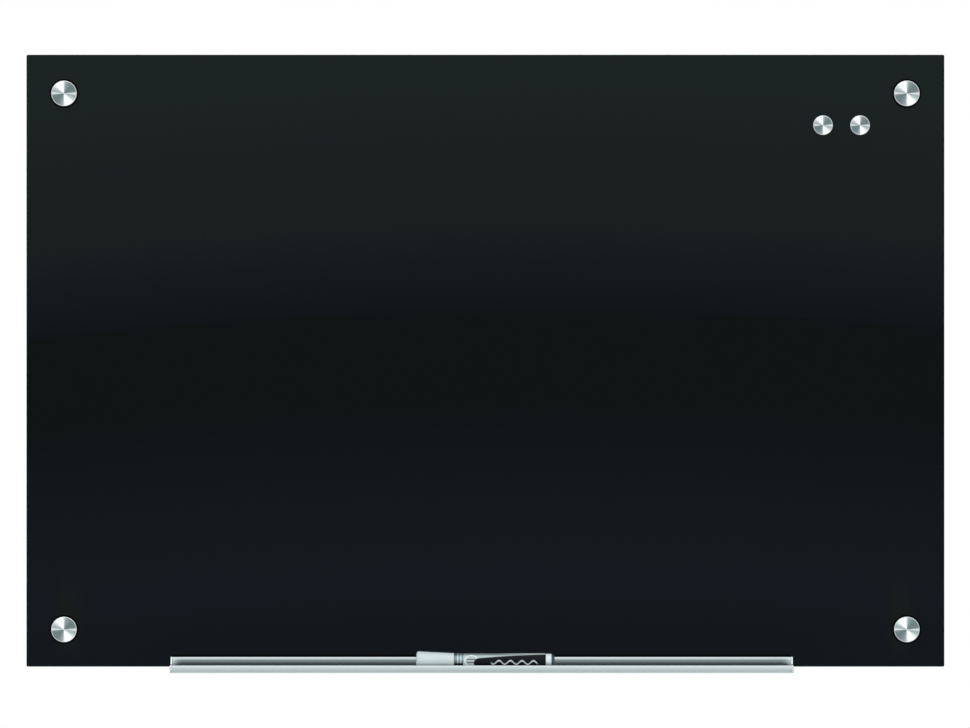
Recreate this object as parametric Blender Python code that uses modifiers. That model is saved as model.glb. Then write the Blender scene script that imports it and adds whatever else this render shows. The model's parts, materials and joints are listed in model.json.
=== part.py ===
"""Glass whiteboard on four stand-offs, with a marker tray, a marker and two magnets.

The wall is the plane Y = 0 and the board hangs in front of it, towards -Y. X = 0 and Z = 0 is the centre of
the glass. Run it with blender --background --python part.py, or from Blender's text editor. All lengths are
in metres.
"""

import math

import bmesh
import bpy
from mathutils import Vector

# Clearance left between pieces that touch, the overrun of a cutter, and how near points are joined
FIT_GAP = 0.0003
CUT_OVERRUN = 0.002
WELD_DISTANCE = 0.00001

# Glass panel
GLASS_WIDTH = 0.9144
GLASS_HEIGHT = 0.6096
GLASS_THICKNESS = 0.004
GLASS_CORNER_RADIUS = 0.0015
GLASS_ARRIS = 0.0005
FIXING_INSET_SIDE = 0.0375
FIXING_INSET_TOP = 0.0386
FIXING_INSET_BOTTOM = 0.0371

# Steel sheet behind the glass, which the magnets pull on
STEEL_THICKNESS = 0.0005
STEEL_TRAY_GAP = 0.0035
STEEL_CORNER_RADIUS = 0.004
STEEL_RING_GAP = 0.002

# Nylon anchor in the wall
ANCHOR_LENGTH = 0.038
ANCHOR_WALL = 0.0013
ANCHOR_RIB_HEIGHT = 0.0004
ANCHOR_TIP_LENGTH = 0.006
ANCHOR_TIP_DRAFT = 0.0006
ANCHOR_SLIT_WIDTH = 0.0012
ANCHOR_SOLID_LENGTH = 0.012
ANCHOR_RIBS = 4

# Wood screw through the back of each barrel
SCREW_SHANK_RADIUS = 0.0021
SCREW_SHANK_LENGTH = 0.035
SCREW_POINT_LENGTH = 0.006
SCREW_HEAD_CLEARANCE = 0.0004
SCREW_HEAD_HEIGHT = 0.0024
SCREW_HEAD_EDGE = 0.0007
SCREW_RECESS_LENGTH = 0.0042
SCREW_RECESS_WIDTH = 0.0009
SCREW_RECESS_DEPTH = 0.0014

# Stand-off barrel between wall and glass
BARREL_RADIUS = 0.012
BARREL_LENGTH = 0.015
BARREL_BASE_THICKNESS = 0.0025
BARREL_EDGE = 0.0006
BARREL_MOUTH_EDGE = 0.0005
BARREL_RELIEF_DEPTH = 0.0008

# Soft rings on both sides of the glass, and the sleeve in its hole
REAR_WASHER_MARGIN = 0.001
REAR_WASHER_THICKNESS = 0.001
FRONT_WASHER_MARGIN = 0.0012
FRONT_WASHER_THICKNESS = 0.001
BUSHING_WALL = 0.0012

# Screwed cap of the stand-off, with its stud
CAP_RADIUS = 0.0128
CAP_HEAD_THICKNESS = 0.004
CAP_RIM_EDGE = 0.0008
STUD_RADIUS = 0.004
STUD_TIP_EDGE = 0.0008
STUD_TIP_CLEARANCE = 0.0008

# Magnets
MAGNET_RADIUS = 0.00985
MAGNET_HEIGHT = 0.007
MAGNET_RIM_EDGE = 0.0007
MAGNET_BACK_EDGE = 0.0003
MAGNET_WALL = 0.00235
MAGNET_FACE_THICKNESS = 0.0033
MAGNET_PITCH = 0.0369
MAGNET_FROM_SIDE = 0.0841
MAGNET_FROM_TOP = 0.0703

# Tray: a channel that clips round the lower edge of the glass
TRAY_LENGTH = 0.6207
TRAY_OFFSET = -0.0037
TRAY_DEPTH = 0.038
TRAY_FRONT_RISE = 0.0096
TRAY_REAR_RISE = 0.0085
TRAY_FLOOR_THICKNESS = 0.0012
TRAY_LIP_HEIGHT = 0.0073
TRAY_LIP_THICKNESS = 0.0016
TRAY_FLANGE_THICKNESS = 0.0015
TRAY_SLOT_WEB = 0.0015
TRAY_SLOT_LIFT = 0.0026
TRAY_EDGE_RADIUS = 0.0006
TRAY_INSIDE_RADIUS = 0.001
TRAY_OUTSIDE_RADIUS = 0.0012
GASKET_WALL = 0.001
GASKET_SETBACK = 0.0005
END_CAP_THICKNESS = 0.002
END_CAP_TOP_LENGTH = 0.0059
END_CAP_FALL_LENGTH = 0.003
END_CAP_SHOULDER_RADIUS = 0.003
END_CAP_HOLLOW_RADIUS = 0.003
END_CAP_TONGUE_LENGTH = 0.005
END_CAP_TONGUE_THICKNESS = 0.0012

# Marker, measured along its axis from the closed end of its cap
MARKER_OFFSET = -0.0656
MARKER_CAP_LENGTH = 0.038
MARKER_CAP_RADIUS = 0.00975
MARKER_CAP_MOUTH_RADIUS = 0.0092
MARKER_CAP_WALL = 0.001
MARKER_CAP_END_WALL = 0.0016
MARKER_CAP_CORNER = 0.003
MARKER_BARREL_LENGTH = 0.0908
MARKER_BARREL_RADIUS = 0.0089
MARKER_BARREL_EDGE = 0.0003
MARKER_RING_HEIGHT = 0.0002
MARKER_RING_WIDTH = 0.0013
MARKER_RING_OFFSETS = (0.0038, 0.0068)
MARKER_NECK_LENGTH = 0.008
MARKER_NECK_WALL = 0.0013
MARKER_CONE_TIP_WALL = 0.0008
MARKER_NIB_RADIUS = 0.0025
MARKER_NIB_CLEARANCE = 0.0062
MARKER_NIB_REACH = 0.0065
MARKER_NIB_POINT = 0.003
MARKER_NIB_POINT_RADIUS = 0.0012
MARKER_BORE_SETBACK = 0.003
MARKER_PLUG_LENGTH = 0.0058
MARKER_PLUG_RADIUS = 0.0086
MARKER_PLUG_REAR_RADIUS = 0.0084
MARKER_PLUG_CONE_LENGTH = 0.0029
MARKER_PLUG_END_RADIUS = 0.0069
MARKER_SPIGOT_LENGTH = 0.008

# How round the turned pieces are, and how many steps an outline's corner takes
SIDES_LARGE = 24
SIDES_STEEL_HOLE = 48
SIDES_MEDIUM = 16
SIDES_SMALL = 12
CORNER_STEPS = 3
SMOOTH_ANGLE = math.radians(35)

# Radii and distances off the wall, worked out from the pieces in order
STUD_BORE_RADIUS = STUD_RADIUS + FIT_GAP
SCREW_HEAD_RADIUS = STUD_BORE_RADIUS - SCREW_HEAD_CLEARANCE
SCREW_BORE_RADIUS = SCREW_SHANK_RADIUS + FIT_GAP
ANCHOR_RADIUS = SCREW_BORE_RADIUS + ANCHOR_WALL
BARREL_RELIEF_RADIUS = ANCHOR_RADIUS + ANCHOR_RIB_HEIGHT + FIT_GAP
REAR_WASHER_RADIUS = BARREL_RADIUS - REAR_WASHER_MARGIN
FRONT_WASHER_RADIUS = CAP_RADIUS + FRONT_WASHER_MARGIN
SCREW_HEAD_BACK = BARREL_BASE_THICKNESS + FIT_GAP
SCREW_HEAD_FRONT = SCREW_HEAD_BACK + SCREW_HEAD_HEIGHT
REAR_WASHER_BACK = BARREL_LENGTH + FIT_GAP
REAR_WASHER_FRONT = REAR_WASHER_BACK + REAR_WASHER_THICKNESS
GLASS_BACK = REAR_WASHER_FRONT + FIT_GAP
GLASS_FRONT = GLASS_BACK + GLASS_THICKNESS
FRONT_WASHER_BACK = GLASS_FRONT + FIT_GAP
FRONT_WASHER_FRONT = FRONT_WASHER_BACK + FRONT_WASHER_THICKNESS
CAP_BACK = FRONT_WASHER_FRONT + FIT_GAP
CAP_FRONT = CAP_BACK + CAP_HEAD_THICKNESS
STUD_TIP = SCREW_HEAD_FRONT + STUD_TIP_CLEARANCE
BUSHING_RADIUS = STUD_BORE_RADIUS + BUSHING_WALL
GLASS_HOLE_RADIUS = BUSHING_RADIUS + FIT_GAP
STEEL_HOLE_RADIUS = REAR_WASHER_RADIUS + STEEL_RING_GAP
STEEL_FRONT = GLASS_BACK - FIT_GAP
STEEL_BACK = STEEL_FRONT - STEEL_THICKNESS
STEEL_INSET = TRAY_REAR_RISE + STEEL_TRAY_GAP

# Places on the face of the board
FIXING_X = GLASS_WIDTH / 2 - FIXING_INSET_SIDE
FIXING_TOP = GLASS_HEIGHT / 2 - FIXING_INSET_TOP
FIXING_BOTTOM = FIXING_INSET_BOTTOM - GLASS_HEIGHT / 2
MAGNET_X = GLASS_WIDTH / 2 - MAGNET_FROM_SIDE
MAGNET_Z = GLASS_HEIGHT / 2 - MAGNET_FROM_TOP
MAGNET_CAVITY_RADIUS = MAGNET_RADIUS - MAGNET_WALL
MAGNET_CAVITY_DEPTH = MAGNET_HEIGHT - MAGNET_FACE_THICKNESS

# The tray's section: x is the distance in front of the glass, y the height above the tray's underside
SLOT_GAP = FIT_GAP + GASKET_WALL + FIT_GAP
SLOT_FLOOR = TRAY_SLOT_LIFT + TRAY_SLOT_WEB
TRAY_DROP = SLOT_FLOOR + SLOT_GAP
TRAY_HEIGHT = TRAY_DROP + TRAY_FRONT_RISE
TRAY_REAR_HEIGHT = TRAY_DROP + TRAY_REAR_RISE
TRAY_UNDERSIDE = -GLASS_HEIGHT / 2 - TRAY_DROP
SLOT_REAR = -GLASS_THICKNESS - SLOT_GAP
TRAY_WALL_FRONT = SLOT_GAP + TRAY_FLANGE_THICKNESS
TRAY_LIP_BACK = TRAY_DEPTH - TRAY_LIP_THICKNESS
CHANNEL_LENGTH = TRAY_LENGTH - 2 * (END_CAP_THICKNESS + FIT_GAP)

# Places along the marker's axis
MARKER_SHOULDER = MARKER_CAP_LENGTH + FIT_GAP
MARKER_REAR = MARKER_SHOULDER + MARKER_BARREL_LENGTH
MARKER_CAP_BORE_RADIUS = MARKER_CAP_MOUTH_RADIUS - MARKER_CAP_WALL
MARKER_NECK_RADIUS = MARKER_CAP_BORE_RADIUS - FIT_GAP
MARKER_NECK_START = MARKER_SHOULDER - MARKER_NECK_LENGTH
MARKER_NIB_TIP = MARKER_CAP_END_WALL + MARKER_NIB_CLEARANCE
MARKER_CONE_START = MARKER_NIB_TIP + MARKER_NIB_REACH
MARKER_NIB_BORE_RADIUS = MARKER_NIB_RADIUS + FIT_GAP
MARKER_CONE_TIP_RADIUS = MARKER_NIB_BORE_RADIUS + MARKER_CONE_TIP_WALL
MARKER_BORE_RADIUS = MARKER_NECK_RADIUS - MARKER_NECK_WALL
MARKER_BORE_START = MARKER_NECK_START + MARKER_BORE_SETBACK
MARKER_PLUG_START = MARKER_REAR + FIT_GAP
MARKER_PLUG_CONE_START = MARKER_PLUG_START + MARKER_PLUG_LENGTH
MARKER_END = MARKER_PLUG_CONE_START + MARKER_PLUG_CONE_LENGTH
MARKER_SPIGOT_END = MARKER_PLUG_START - MARKER_SPIGOT_LENGTH
MARKER_TILT = math.atan2(
    MARKER_CAP_RADIUS - MARKER_BARREL_RADIUS, MARKER_REAR - MARKER_CAP_CORNER
)

# Colours as linear red, green and blue
COLOURS = {
    "black_glass": (0.004, 0.005, 0.006),
    "zinc_steel": (0.42, 0.43, 0.44),
    "nylon": (0.62, 0.63, 0.60),
    "screw_steel": (0.55, 0.53, 0.47),
    "spun_aluminium": (0.66, 0.68, 0.69),
    "black_rubber": (0.012, 0.012, 0.013),
    "clear_vinyl": (0.70, 0.72, 0.72),
    "satin_aluminium": (0.52, 0.56, 0.56),
    "magnet_nickel": (0.50, 0.49, 0.46),
    "white_plastic": (0.64, 0.71, 0.73),
    "grey_plastic": (0.10, 0.13, 0.14),
    "felt": (0.015, 0.015, 0.017),
    "ink_fibre": (0.30, 0.30, 0.32),
}


def clear_scene():
    """Removes the objects of the startup scene."""
    for obj in list(bpy.data.objects):
        bpy.data.objects.remove(obj)


def new_collection(name):
    made = bpy.data.collections.new(name)
    bpy.context.scene.collection.children.link(made)
    return made


def principled(name, roughness, metallic):
    """A material of the named colour."""
    material = bpy.data.materials.new(name)
    material.use_nodes = True
    shader = material.node_tree.nodes["Principled BSDF"]
    shader.inputs["Base Color"].default_value = (*COLOURS[name], 1.0)
    shader.inputs["Roughness"].default_value = roughness
    shader.inputs["Metallic"].default_value = metallic
    material.diffuse_color = (*COLOURS[name], 1.0)
    return material


def make_materials():
    return {
        "black_glass": principled("black_glass", 0.05, 0.0),
        "zinc_steel": principled("zinc_steel", 0.38, 1.0),
        "nylon": principled("nylon", 0.5, 0.0),
        "screw_steel": principled("screw_steel", 0.32, 1.0),
        "spun_aluminium": principled("spun_aluminium", 0.25, 1.0),
        "black_rubber": principled("black_rubber", 0.7, 0.0),
        "clear_vinyl": principled("clear_vinyl", 0.3, 0.0),
        "satin_aluminium": principled("satin_aluminium", 0.35, 1.0),
        "magnet_nickel": principled("magnet_nickel", 0.25, 1.0),
        "white_plastic": principled("white_plastic", 0.35, 0.0),
        "grey_plastic": principled("grey_plastic", 0.35, 0.0),
        "felt": principled("felt", 0.95, 0.0),
        "ink_fibre": principled("ink_fibre", 0.9, 0.0),
    }


def new_empty(name, location, rotation=(0.0, 0.0, 0.0), parent=None):
    obj = bpy.data.objects.new(name, None)
    obj.location = location
    obj.rotation_euler = rotation
    obj.parent = parent
    parts.objects.link(obj)
    return obj


def add_piece(name, mesh, parent, material):
    """A visible solid. Pieces that share a mesh share its material."""
    obj = bpy.data.objects.new(name, mesh)
    obj.parent = parent
    if not mesh.materials:
        mesh.materials.append(materials[material])
    parts.objects.link(obj)
    return obj


def add_cutter(name, mesh, parent):
    """A hidden object that only shapes others."""
    obj = bpy.data.objects.new(name, mesh)
    obj.parent = parent
    obj.hide_render = True
    obj.display_type = "WIRE"
    cutters.objects.link(obj)
    return obj


def boolean(target, other, operation="DIFFERENCE"):
    modifier = target.modifiers.new(other.name, "BOOLEAN")
    modifier.operation = operation
    modifier.object = other
    modifier.solver = "EXACT"


def box_mesh(name, low, high):
    """A cube primitive that fills the box from low to high."""
    made = bmesh.new()
    bmesh.ops.create_cube(made, size=1.0)
    low = Vector(low)
    high = Vector(high)
    bmesh.ops.scale(made, vec=high - low, verts=made.verts)
    bmesh.ops.translate(made, vec=(low + high) / 2, verts=made.verts)
    mesh = bpy.data.meshes.new(name)
    made.to_mesh(mesh)
    made.free()
    return mesh


def rod_mesh(name, radius, low, high, sides, centre=(0.0, 0.0)):
    """A cylinder primitive along Z, from low to high."""
    made = bmesh.new()
    bmesh.ops.create_cone(
        made, cap_ends=True, segments=sides, radius1=radius, radius2=radius, depth=high - low
    )
    bmesh.ops.translate(made, vec=(*centre, (low + high) / 2), verts=made.verts)
    mesh = bpy.data.meshes.new(name)
    made.to_mesh(mesh)
    made.free()
    return mesh


def baked(obj):
    """The mesh that an object's modifiers or curve settings make of it, its ends welded."""
    bpy.context.view_layer.update()
    graph = bpy.context.evaluated_depsgraph_get()
    mesh = bpy.data.meshes.new_from_object(obj.evaluated_get(graph))
    welded = bmesh.new()
    welded.from_mesh(mesh)
    bmesh.ops.remove_doubles(welded, verts=welded.verts, dist=WELD_DISTANCE)
    welded.to_mesh(mesh)
    welded.free()
    mesh.name = obj.name
    mesh.shade_smooth()
    mesh.set_sharp_from_angle(angle=SMOOTH_ANGLE)
    return mesh


def turned_mesh(name, profile, sides, ring=False):
    """A profile of (radius, height) points turned about Z. It runs down the outer side.

    A ring's profile closes on itself; any other starts and ends on the axis.
    """
    count = len(profile)
    edges = [(i, i + 1) for i in range(count - 1)]
    if ring:
        edges.append((count - 1, 0))
    mesh = bpy.data.meshes.new(name)
    mesh.from_pydata([(radius, 0.0, height) for radius, height in profile], edges, [])
    obj = bpy.data.objects.new(name, mesh)
    bpy.context.scene.collection.objects.link(obj)
    screw = obj.modifiers.new("turn", "SCREW")
    screw.axis = "Z"
    screw.angle = 2 * math.pi
    screw.steps = sides
    screw.render_steps = sides
    screw.use_merge_vertices = True
    screw.merge_threshold = WELD_DISTANCE
    made = baked(obj)
    bpy.data.objects.remove(obj)
    return made


def corner_arc(before, corner, after, radius):
    """The points that round one corner of an outline."""
    corner = Vector(corner)
    back = (Vector(before) - corner).normalized()
    ahead = (Vector(after) - corner).normalized()
    half = back.angle(ahead) / 2
    centre = corner + (back + ahead).normalized() * (radius / math.sin(half))
    start = corner + back * (radius / math.tan(half)) - centre
    end = corner + ahead * (radius / math.tan(half)) - centre
    sweep = start.angle_signed(end)
    points = []
    for step in range(CORNER_STEPS + 1):
        angle = -sweep * step / CORNER_STEPS
        turned = Vector(
            (
                start.x * math.cos(angle) - start.y * math.sin(angle),
                start.x * math.sin(angle) + start.y * math.cos(angle),
            )
        )
        points.append(centre + turned)
    return points


def rounded_outline(corners):
    """An outline of (x, y, radius) corners, each rounded by its radius."""
    points = []
    for i, (x, y, radius) in enumerate(corners):
        if radius:
            before = corners[i - 1][:2]
            after = corners[(i + 1) % len(corners)][:2]
            points += corner_arc(before, (x, y), after, radius)
        else:
            points.append(Vector((x, y)))
    return points


def plate_mesh(name, corners, thickness):
    """A rounded outline, extruded to the thickness about its own plane."""
    points = rounded_outline(corners)
    curve = bpy.data.curves.new(name, "CURVE")
    curve.dimensions = "2D"
    curve.fill_mode = "BOTH"
    curve.extrude = thickness / 2
    spline = curve.splines.new("POLY")
    spline.points.add(len(points) - 1)
    for slot, point in zip(spline.points, points):
        slot.co = (point.x, point.y, 0.0, 1.0)
    spline.use_cyclic_u = True
    obj = bpy.data.objects.new(name, curve)
    bpy.context.scene.collection.objects.link(obj)
    made = baked(obj)
    bpy.data.objects.remove(obj)
    return made


def rectangle(width, height, radius):
    x = width / 2
    y = height / 2
    return [(-x, -y, radius), (x, -y, radius), (x, y, radius), (-x, y, radius)]


def pierce(panel, radius, low, high, sides):
    """Cuts a round hole at each of the four fixings."""
    for x, z in (
        (-FIXING_X, FIXING_BOTTOM),
        (FIXING_X, FIXING_BOTTOM),
        (FIXING_X, FIXING_TOP),
        (-FIXING_X, FIXING_TOP),
    ):
        name = f"{panel.name}_hole"
        centre = (x, z)
        mesh = rod_mesh(name, radius, low - CUT_OVERRUN, high + CUT_OVERRUN, sides, centre)
        boolean(panel, add_cutter(name, mesh, panel.parent))


def make_panels(face):
    """The glass and the steel sheet, which lie across the empty's Z."""
    corners = rectangle(GLASS_WIDTH, GLASS_HEIGHT, GLASS_CORNER_RADIUS)
    plate = plate_mesh("glass_panel", corners, GLASS_THICKNESS)
    glass = add_piece("glass_panel", plate, face, "black_glass")
    glass.location = (0.0, 0.0, (GLASS_BACK + GLASS_FRONT) / 2)
    arris = glass.modifiers.new("arris", "BEVEL")
    arris.width = GLASS_ARRIS
    arris.segments = 1
    arris.limit_method = "ANGLE"
    arris.angle_limit = math.radians(60)
    pierce(glass, GLASS_HOLE_RADIUS, GLASS_BACK, GLASS_FRONT, SIDES_LARGE)

    width = GLASS_WIDTH - 2 * STEEL_INSET
    height = GLASS_HEIGHT - 2 * STEEL_INSET
    corners = rectangle(width, height, STEEL_CORNER_RADIUS)
    sheet = plate_mesh("steel_backing", corners, STEEL_THICKNESS)
    steel = add_piece("steel_backing", sheet, face, "zinc_steel")
    steel.location = (0.0, 0.0, (STEEL_BACK + STEEL_FRONT) / 2)
    pierce(steel, STEEL_HOLE_RADIUS, STEEL_BACK, STEEL_FRONT, SIDES_STEEL_HOLE)


def ring_profile(inner, outer, low, high):
    """The section of a washer or a sleeve."""
    return [(inner, high), (outer, high), (outer, low), (inner, low)]


def anchor_profile():
    """A plug with saw-tooth ribs and a tapered tip, and the screw's bore through it."""
    bore = SCREW_BORE_RADIUS
    rib = ANCHOR_RADIUS + ANCHOR_RIB_HEIGHT
    top = -FIT_GAP
    tip = top - ANCHOR_LENGTH
    taper = tip + ANCHOR_TIP_LENGTH
    pitch = (top - taper) / ANCHOR_RIBS
    points = [(bore, top)]
    for i in range(ANCHOR_RIBS):
        points.append((rib, top - i * pitch))
        points.append((ANCHOR_RADIUS, top - (i + 1) * pitch))
    points.append((ANCHOR_RADIUS - ANCHOR_TIP_DRAFT, tip))
    points.append((bore, tip))
    return points


def screw_profile():
    tip = SCREW_HEAD_BACK - SCREW_SHANK_LENGTH
    return [
        (0.0, SCREW_HEAD_FRONT),
        (SCREW_HEAD_RADIUS - SCREW_HEAD_EDGE, SCREW_HEAD_FRONT),
        (SCREW_HEAD_RADIUS, SCREW_HEAD_FRONT - SCREW_HEAD_EDGE),
        (SCREW_HEAD_RADIUS, SCREW_HEAD_BACK),
        (SCREW_SHANK_RADIUS, SCREW_HEAD_BACK),
        (SCREW_SHANK_RADIUS, tip + SCREW_POINT_LENGTH),
        (0.0, tip),
    ]


def barrel_profile():
    """The barrel is open to the front for the stud, with a small hole in its base for the screw.

    Its back is relieved round the anchor, so that it stands on the wall alone.
    """
    hole = SCREW_BORE_RADIUS
    return [
        (STUD_BORE_RADIUS + BARREL_MOUTH_EDGE, BARREL_LENGTH),
        (BARREL_RADIUS - BARREL_EDGE, BARREL_LENGTH),
        (BARREL_RADIUS, BARREL_LENGTH - BARREL_EDGE),
        (BARREL_RADIUS, BARREL_EDGE),
        (BARREL_RADIUS - BARREL_EDGE, 0.0),
        (BARREL_RELIEF_RADIUS, 0.0),
        (BARREL_RELIEF_RADIUS, BARREL_RELIEF_DEPTH),
        (hole, BARREL_RELIEF_DEPTH),
        (hole, BARREL_BASE_THICKNESS),
        (STUD_BORE_RADIUS, BARREL_BASE_THICKNESS),
        (STUD_BORE_RADIUS, BARREL_LENGTH - BARREL_MOUTH_EDGE),
    ]


def cap_profile():
    return [
        (0.0, CAP_FRONT),
        (CAP_RADIUS - CAP_RIM_EDGE, CAP_FRONT),
        (CAP_RADIUS, CAP_FRONT - CAP_RIM_EDGE),
        (CAP_RADIUS, CAP_BACK),
        (STUD_RADIUS, CAP_BACK),
        (STUD_RADIUS, STUD_TIP + STUD_TIP_EDGE),
        (STUD_RADIUS - STUD_TIP_EDGE, STUD_TIP),
        (0.0, STUD_TIP),
    ]


def make_fixing_meshes():
    """One mesh of each piece, which the four fixings share."""
    rear = ring_profile(STUD_BORE_RADIUS, REAR_WASHER_RADIUS, REAR_WASHER_BACK, REAR_WASHER_FRONT)
    sleeve = ring_profile(STUD_BORE_RADIUS, BUSHING_RADIUS, GLASS_BACK, GLASS_FRONT)
    front = ring_profile(STUD_BORE_RADIUS, FRONT_WASHER_RADIUS, FRONT_WASHER_BACK, FRONT_WASHER_FRONT)
    return {
        "wall_anchor": (turned_mesh("wall_anchor", anchor_profile(), SIDES_SMALL, True), "nylon"),
        "wall_screw": (turned_mesh("wall_screw", screw_profile(), SIDES_SMALL), "screw_steel"),
        "standoff_barrel": (
            turned_mesh("standoff_barrel", barrel_profile(), SIDES_LARGE, True),
            "spun_aluminium",
        ),
        "rear_washer": (turned_mesh("rear_washer", rear, SIDES_MEDIUM, True), "clear_vinyl"),
        "glass_bushing": (turned_mesh("glass_bushing", sleeve, SIDES_MEDIUM, True), "clear_vinyl"),
        "front_washer": (turned_mesh("front_washer", front, SIDES_LARGE, True), "black_rubber"),
        "standoff_cap": (turned_mesh("standoff_cap", cap_profile(), SIDES_LARGE), "spun_aluminium"),
    }


def slit_anchor(anchor, axis):
    """The expansion slit, which leaves the front of the plug whole."""
    reach = ANCHOR_RADIUS + ANCHOR_RIB_HEIGHT + CUT_OVERRUN
    half = ANCHOR_SLIT_WIDTH / 2
    mesh = box_mesh(
        "anchor_slit",
        (-reach, -half, -FIT_GAP - ANCHOR_LENGTH - CUT_OVERRUN),
        (reach, half, -FIT_GAP - ANCHOR_SOLID_LENGTH),
    )
    boolean(anchor, add_cutter("anchor_slit", mesh, axis))


def recess_screw(screw, axis):
    """The cross recess in the screw's head: two slots at right angles."""
    length = SCREW_RECESS_LENGTH / 2
    width = SCREW_RECESS_WIDTH / 2
    low = SCREW_HEAD_FRONT - SCREW_RECESS_DEPTH
    high = SCREW_HEAD_FRONT + CUT_OVERRUN
    for name, x, y in (("recess_across", length, width), ("recess_upright", width, length)):
        mesh = box_mesh(name, (-x, -y, low), (x, y, high))
        boolean(screw, add_cutter(name, mesh, axis))


def make_fixings(face):
    """The four stand-offs, each on an empty that lies on its axis."""
    meshes = make_fixing_meshes()
    for row, z in (("top", FIXING_TOP), ("bottom", FIXING_BOTTOM)):
        for column, x in (("left", -FIXING_X), ("right", FIXING_X)):
            corner = f"{row}_{column}"
            axis = new_empty(f"fixing_{corner}", (x, z, 0.0), parent=face)
            made = {}
            for kind, (mesh, material) in meshes.items():
                made[kind] = add_piece(f"{kind}_{corner}", mesh, axis, material)
            slit_anchor(made["wall_anchor"], axis)
            recess_screw(made["wall_screw"], axis)


def make_magnets(face):
    """Two magnets: a turned shell, open at its back, and the disc in it."""
    shell = turned_mesh(
        "magnet_shell",
        [
            (0.0, MAGNET_HEIGHT),
            (MAGNET_RADIUS - MAGNET_RIM_EDGE, MAGNET_HEIGHT),
            (MAGNET_RADIUS, MAGNET_HEIGHT - MAGNET_RIM_EDGE),
            (MAGNET_RADIUS, MAGNET_BACK_EDGE),
            (MAGNET_RADIUS - MAGNET_BACK_EDGE, 0.0),
            (MAGNET_CAVITY_RADIUS, 0.0),
            (MAGNET_CAVITY_RADIUS, MAGNET_CAVITY_DEPTH),
            (0.0, MAGNET_CAVITY_DEPTH),
        ],
        SIDES_LARGE,
    )
    core_radius = MAGNET_CAVITY_RADIUS - FIT_GAP
    core_height = MAGNET_CAVITY_DEPTH - FIT_GAP
    core = rod_mesh("magnet_core", core_radius, 0.0, core_height, SIDES_MEDIUM)
    for side, x in (("left", MAGNET_X - MAGNET_PITCH), ("right", MAGNET_X)):
        axis = new_empty(f"magnet_{side}", (x, MAGNET_Z, GLASS_FRONT + FIT_GAP), parent=face)
        add_piece(f"magnet_shell_{side}", shell, axis, "spun_aluminium")
        add_piece(f"magnet_core_{side}", core, axis, "magnet_nickel")


def channel_corners():
    """The tray's section: floor and lip in front, and the slot for the glass behind."""
    rear_back = SLOT_REAR - TRAY_FLANGE_THICKNESS
    slot_underside = SLOT_FLOOR - TRAY_SLOT_WEB
    return [
        (TRAY_DEPTH, 0.0, TRAY_OUTSIDE_RADIUS),
        (TRAY_DEPTH, TRAY_LIP_HEIGHT, TRAY_EDGE_RADIUS),
        (TRAY_LIP_BACK, TRAY_LIP_HEIGHT, TRAY_EDGE_RADIUS),
        (TRAY_LIP_BACK, TRAY_FLOOR_THICKNESS, TRAY_INSIDE_RADIUS),
        (TRAY_WALL_FRONT, TRAY_FLOOR_THICKNESS, TRAY_INSIDE_RADIUS),
        (TRAY_WALL_FRONT, TRAY_HEIGHT, TRAY_EDGE_RADIUS),
        (SLOT_GAP, TRAY_HEIGHT, TRAY_EDGE_RADIUS),
        (SLOT_GAP, SLOT_FLOOR, 0.0),
        (SLOT_REAR, SLOT_FLOOR, 0.0),
        (SLOT_REAR, TRAY_REAR_HEIGHT, TRAY_EDGE_RADIUS),
        (rear_back, TRAY_REAR_HEIGHT, TRAY_EDGE_RADIUS),
        (rear_back, slot_underside, TRAY_INSIDE_RADIUS),
        (SLOT_GAP, slot_underside, 0.0),
        (SLOT_GAP, 0.0, 0.0),
    ]


def gasket_corners():
    """A U that lines the slot, round the edge of the glass."""
    inner_front = FIT_GAP
    outer_front = FIT_GAP + GASKET_WALL
    inner_rear = -GLASS_THICKNESS - FIT_GAP
    outer_rear = inner_rear - GASKET_WALL
    floor = SLOT_FLOOR + FIT_GAP
    front_top = TRAY_HEIGHT - GASKET_SETBACK
    rear_top = TRAY_REAR_HEIGHT - GASKET_SETBACK
    return [
        (outer_front, floor, 0.0),
        (outer_front, front_top, 0.0),
        (inner_front, front_top, 0.0),
        (inner_front, floor + GASKET_WALL, 0.0),
        (inner_rear, floor + GASKET_WALL, 0.0),
        (inner_rear, rear_top, 0.0),
        (outer_rear, rear_top, 0.0),
        (outer_rear, floor, 0.0),
    ]


def end_cap_corners():
    """A side plate as high as the back wall beside it, and as high as the lip in front of that."""
    shoulder = SLOT_GAP + END_CAP_TOP_LENGTH
    return [
        (TRAY_DEPTH, 0.0, TRAY_OUTSIDE_RADIUS),
        (TRAY_DEPTH, TRAY_LIP_HEIGHT, TRAY_EDGE_RADIUS),
        (shoulder + END_CAP_FALL_LENGTH, TRAY_LIP_HEIGHT, END_CAP_HOLLOW_RADIUS),
        (shoulder, TRAY_HEIGHT, END_CAP_SHOULDER_RADIUS),
        (SLOT_GAP, TRAY_HEIGHT, TRAY_EDGE_RADIUS),
        (SLOT_GAP, 0.0, 0.0),
    ]


def add_section(name, corners, length, along, parent, material):
    """A piece of the tray with one section along X, its middle at along."""
    piece = add_piece(name, plate_mesh(name, corners, length), parent, material)
    piece.location = (along, 0.0, 0.0)
    piece.rotation_euler = (math.pi / 2, 0.0, -math.pi / 2)
    return piece


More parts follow.
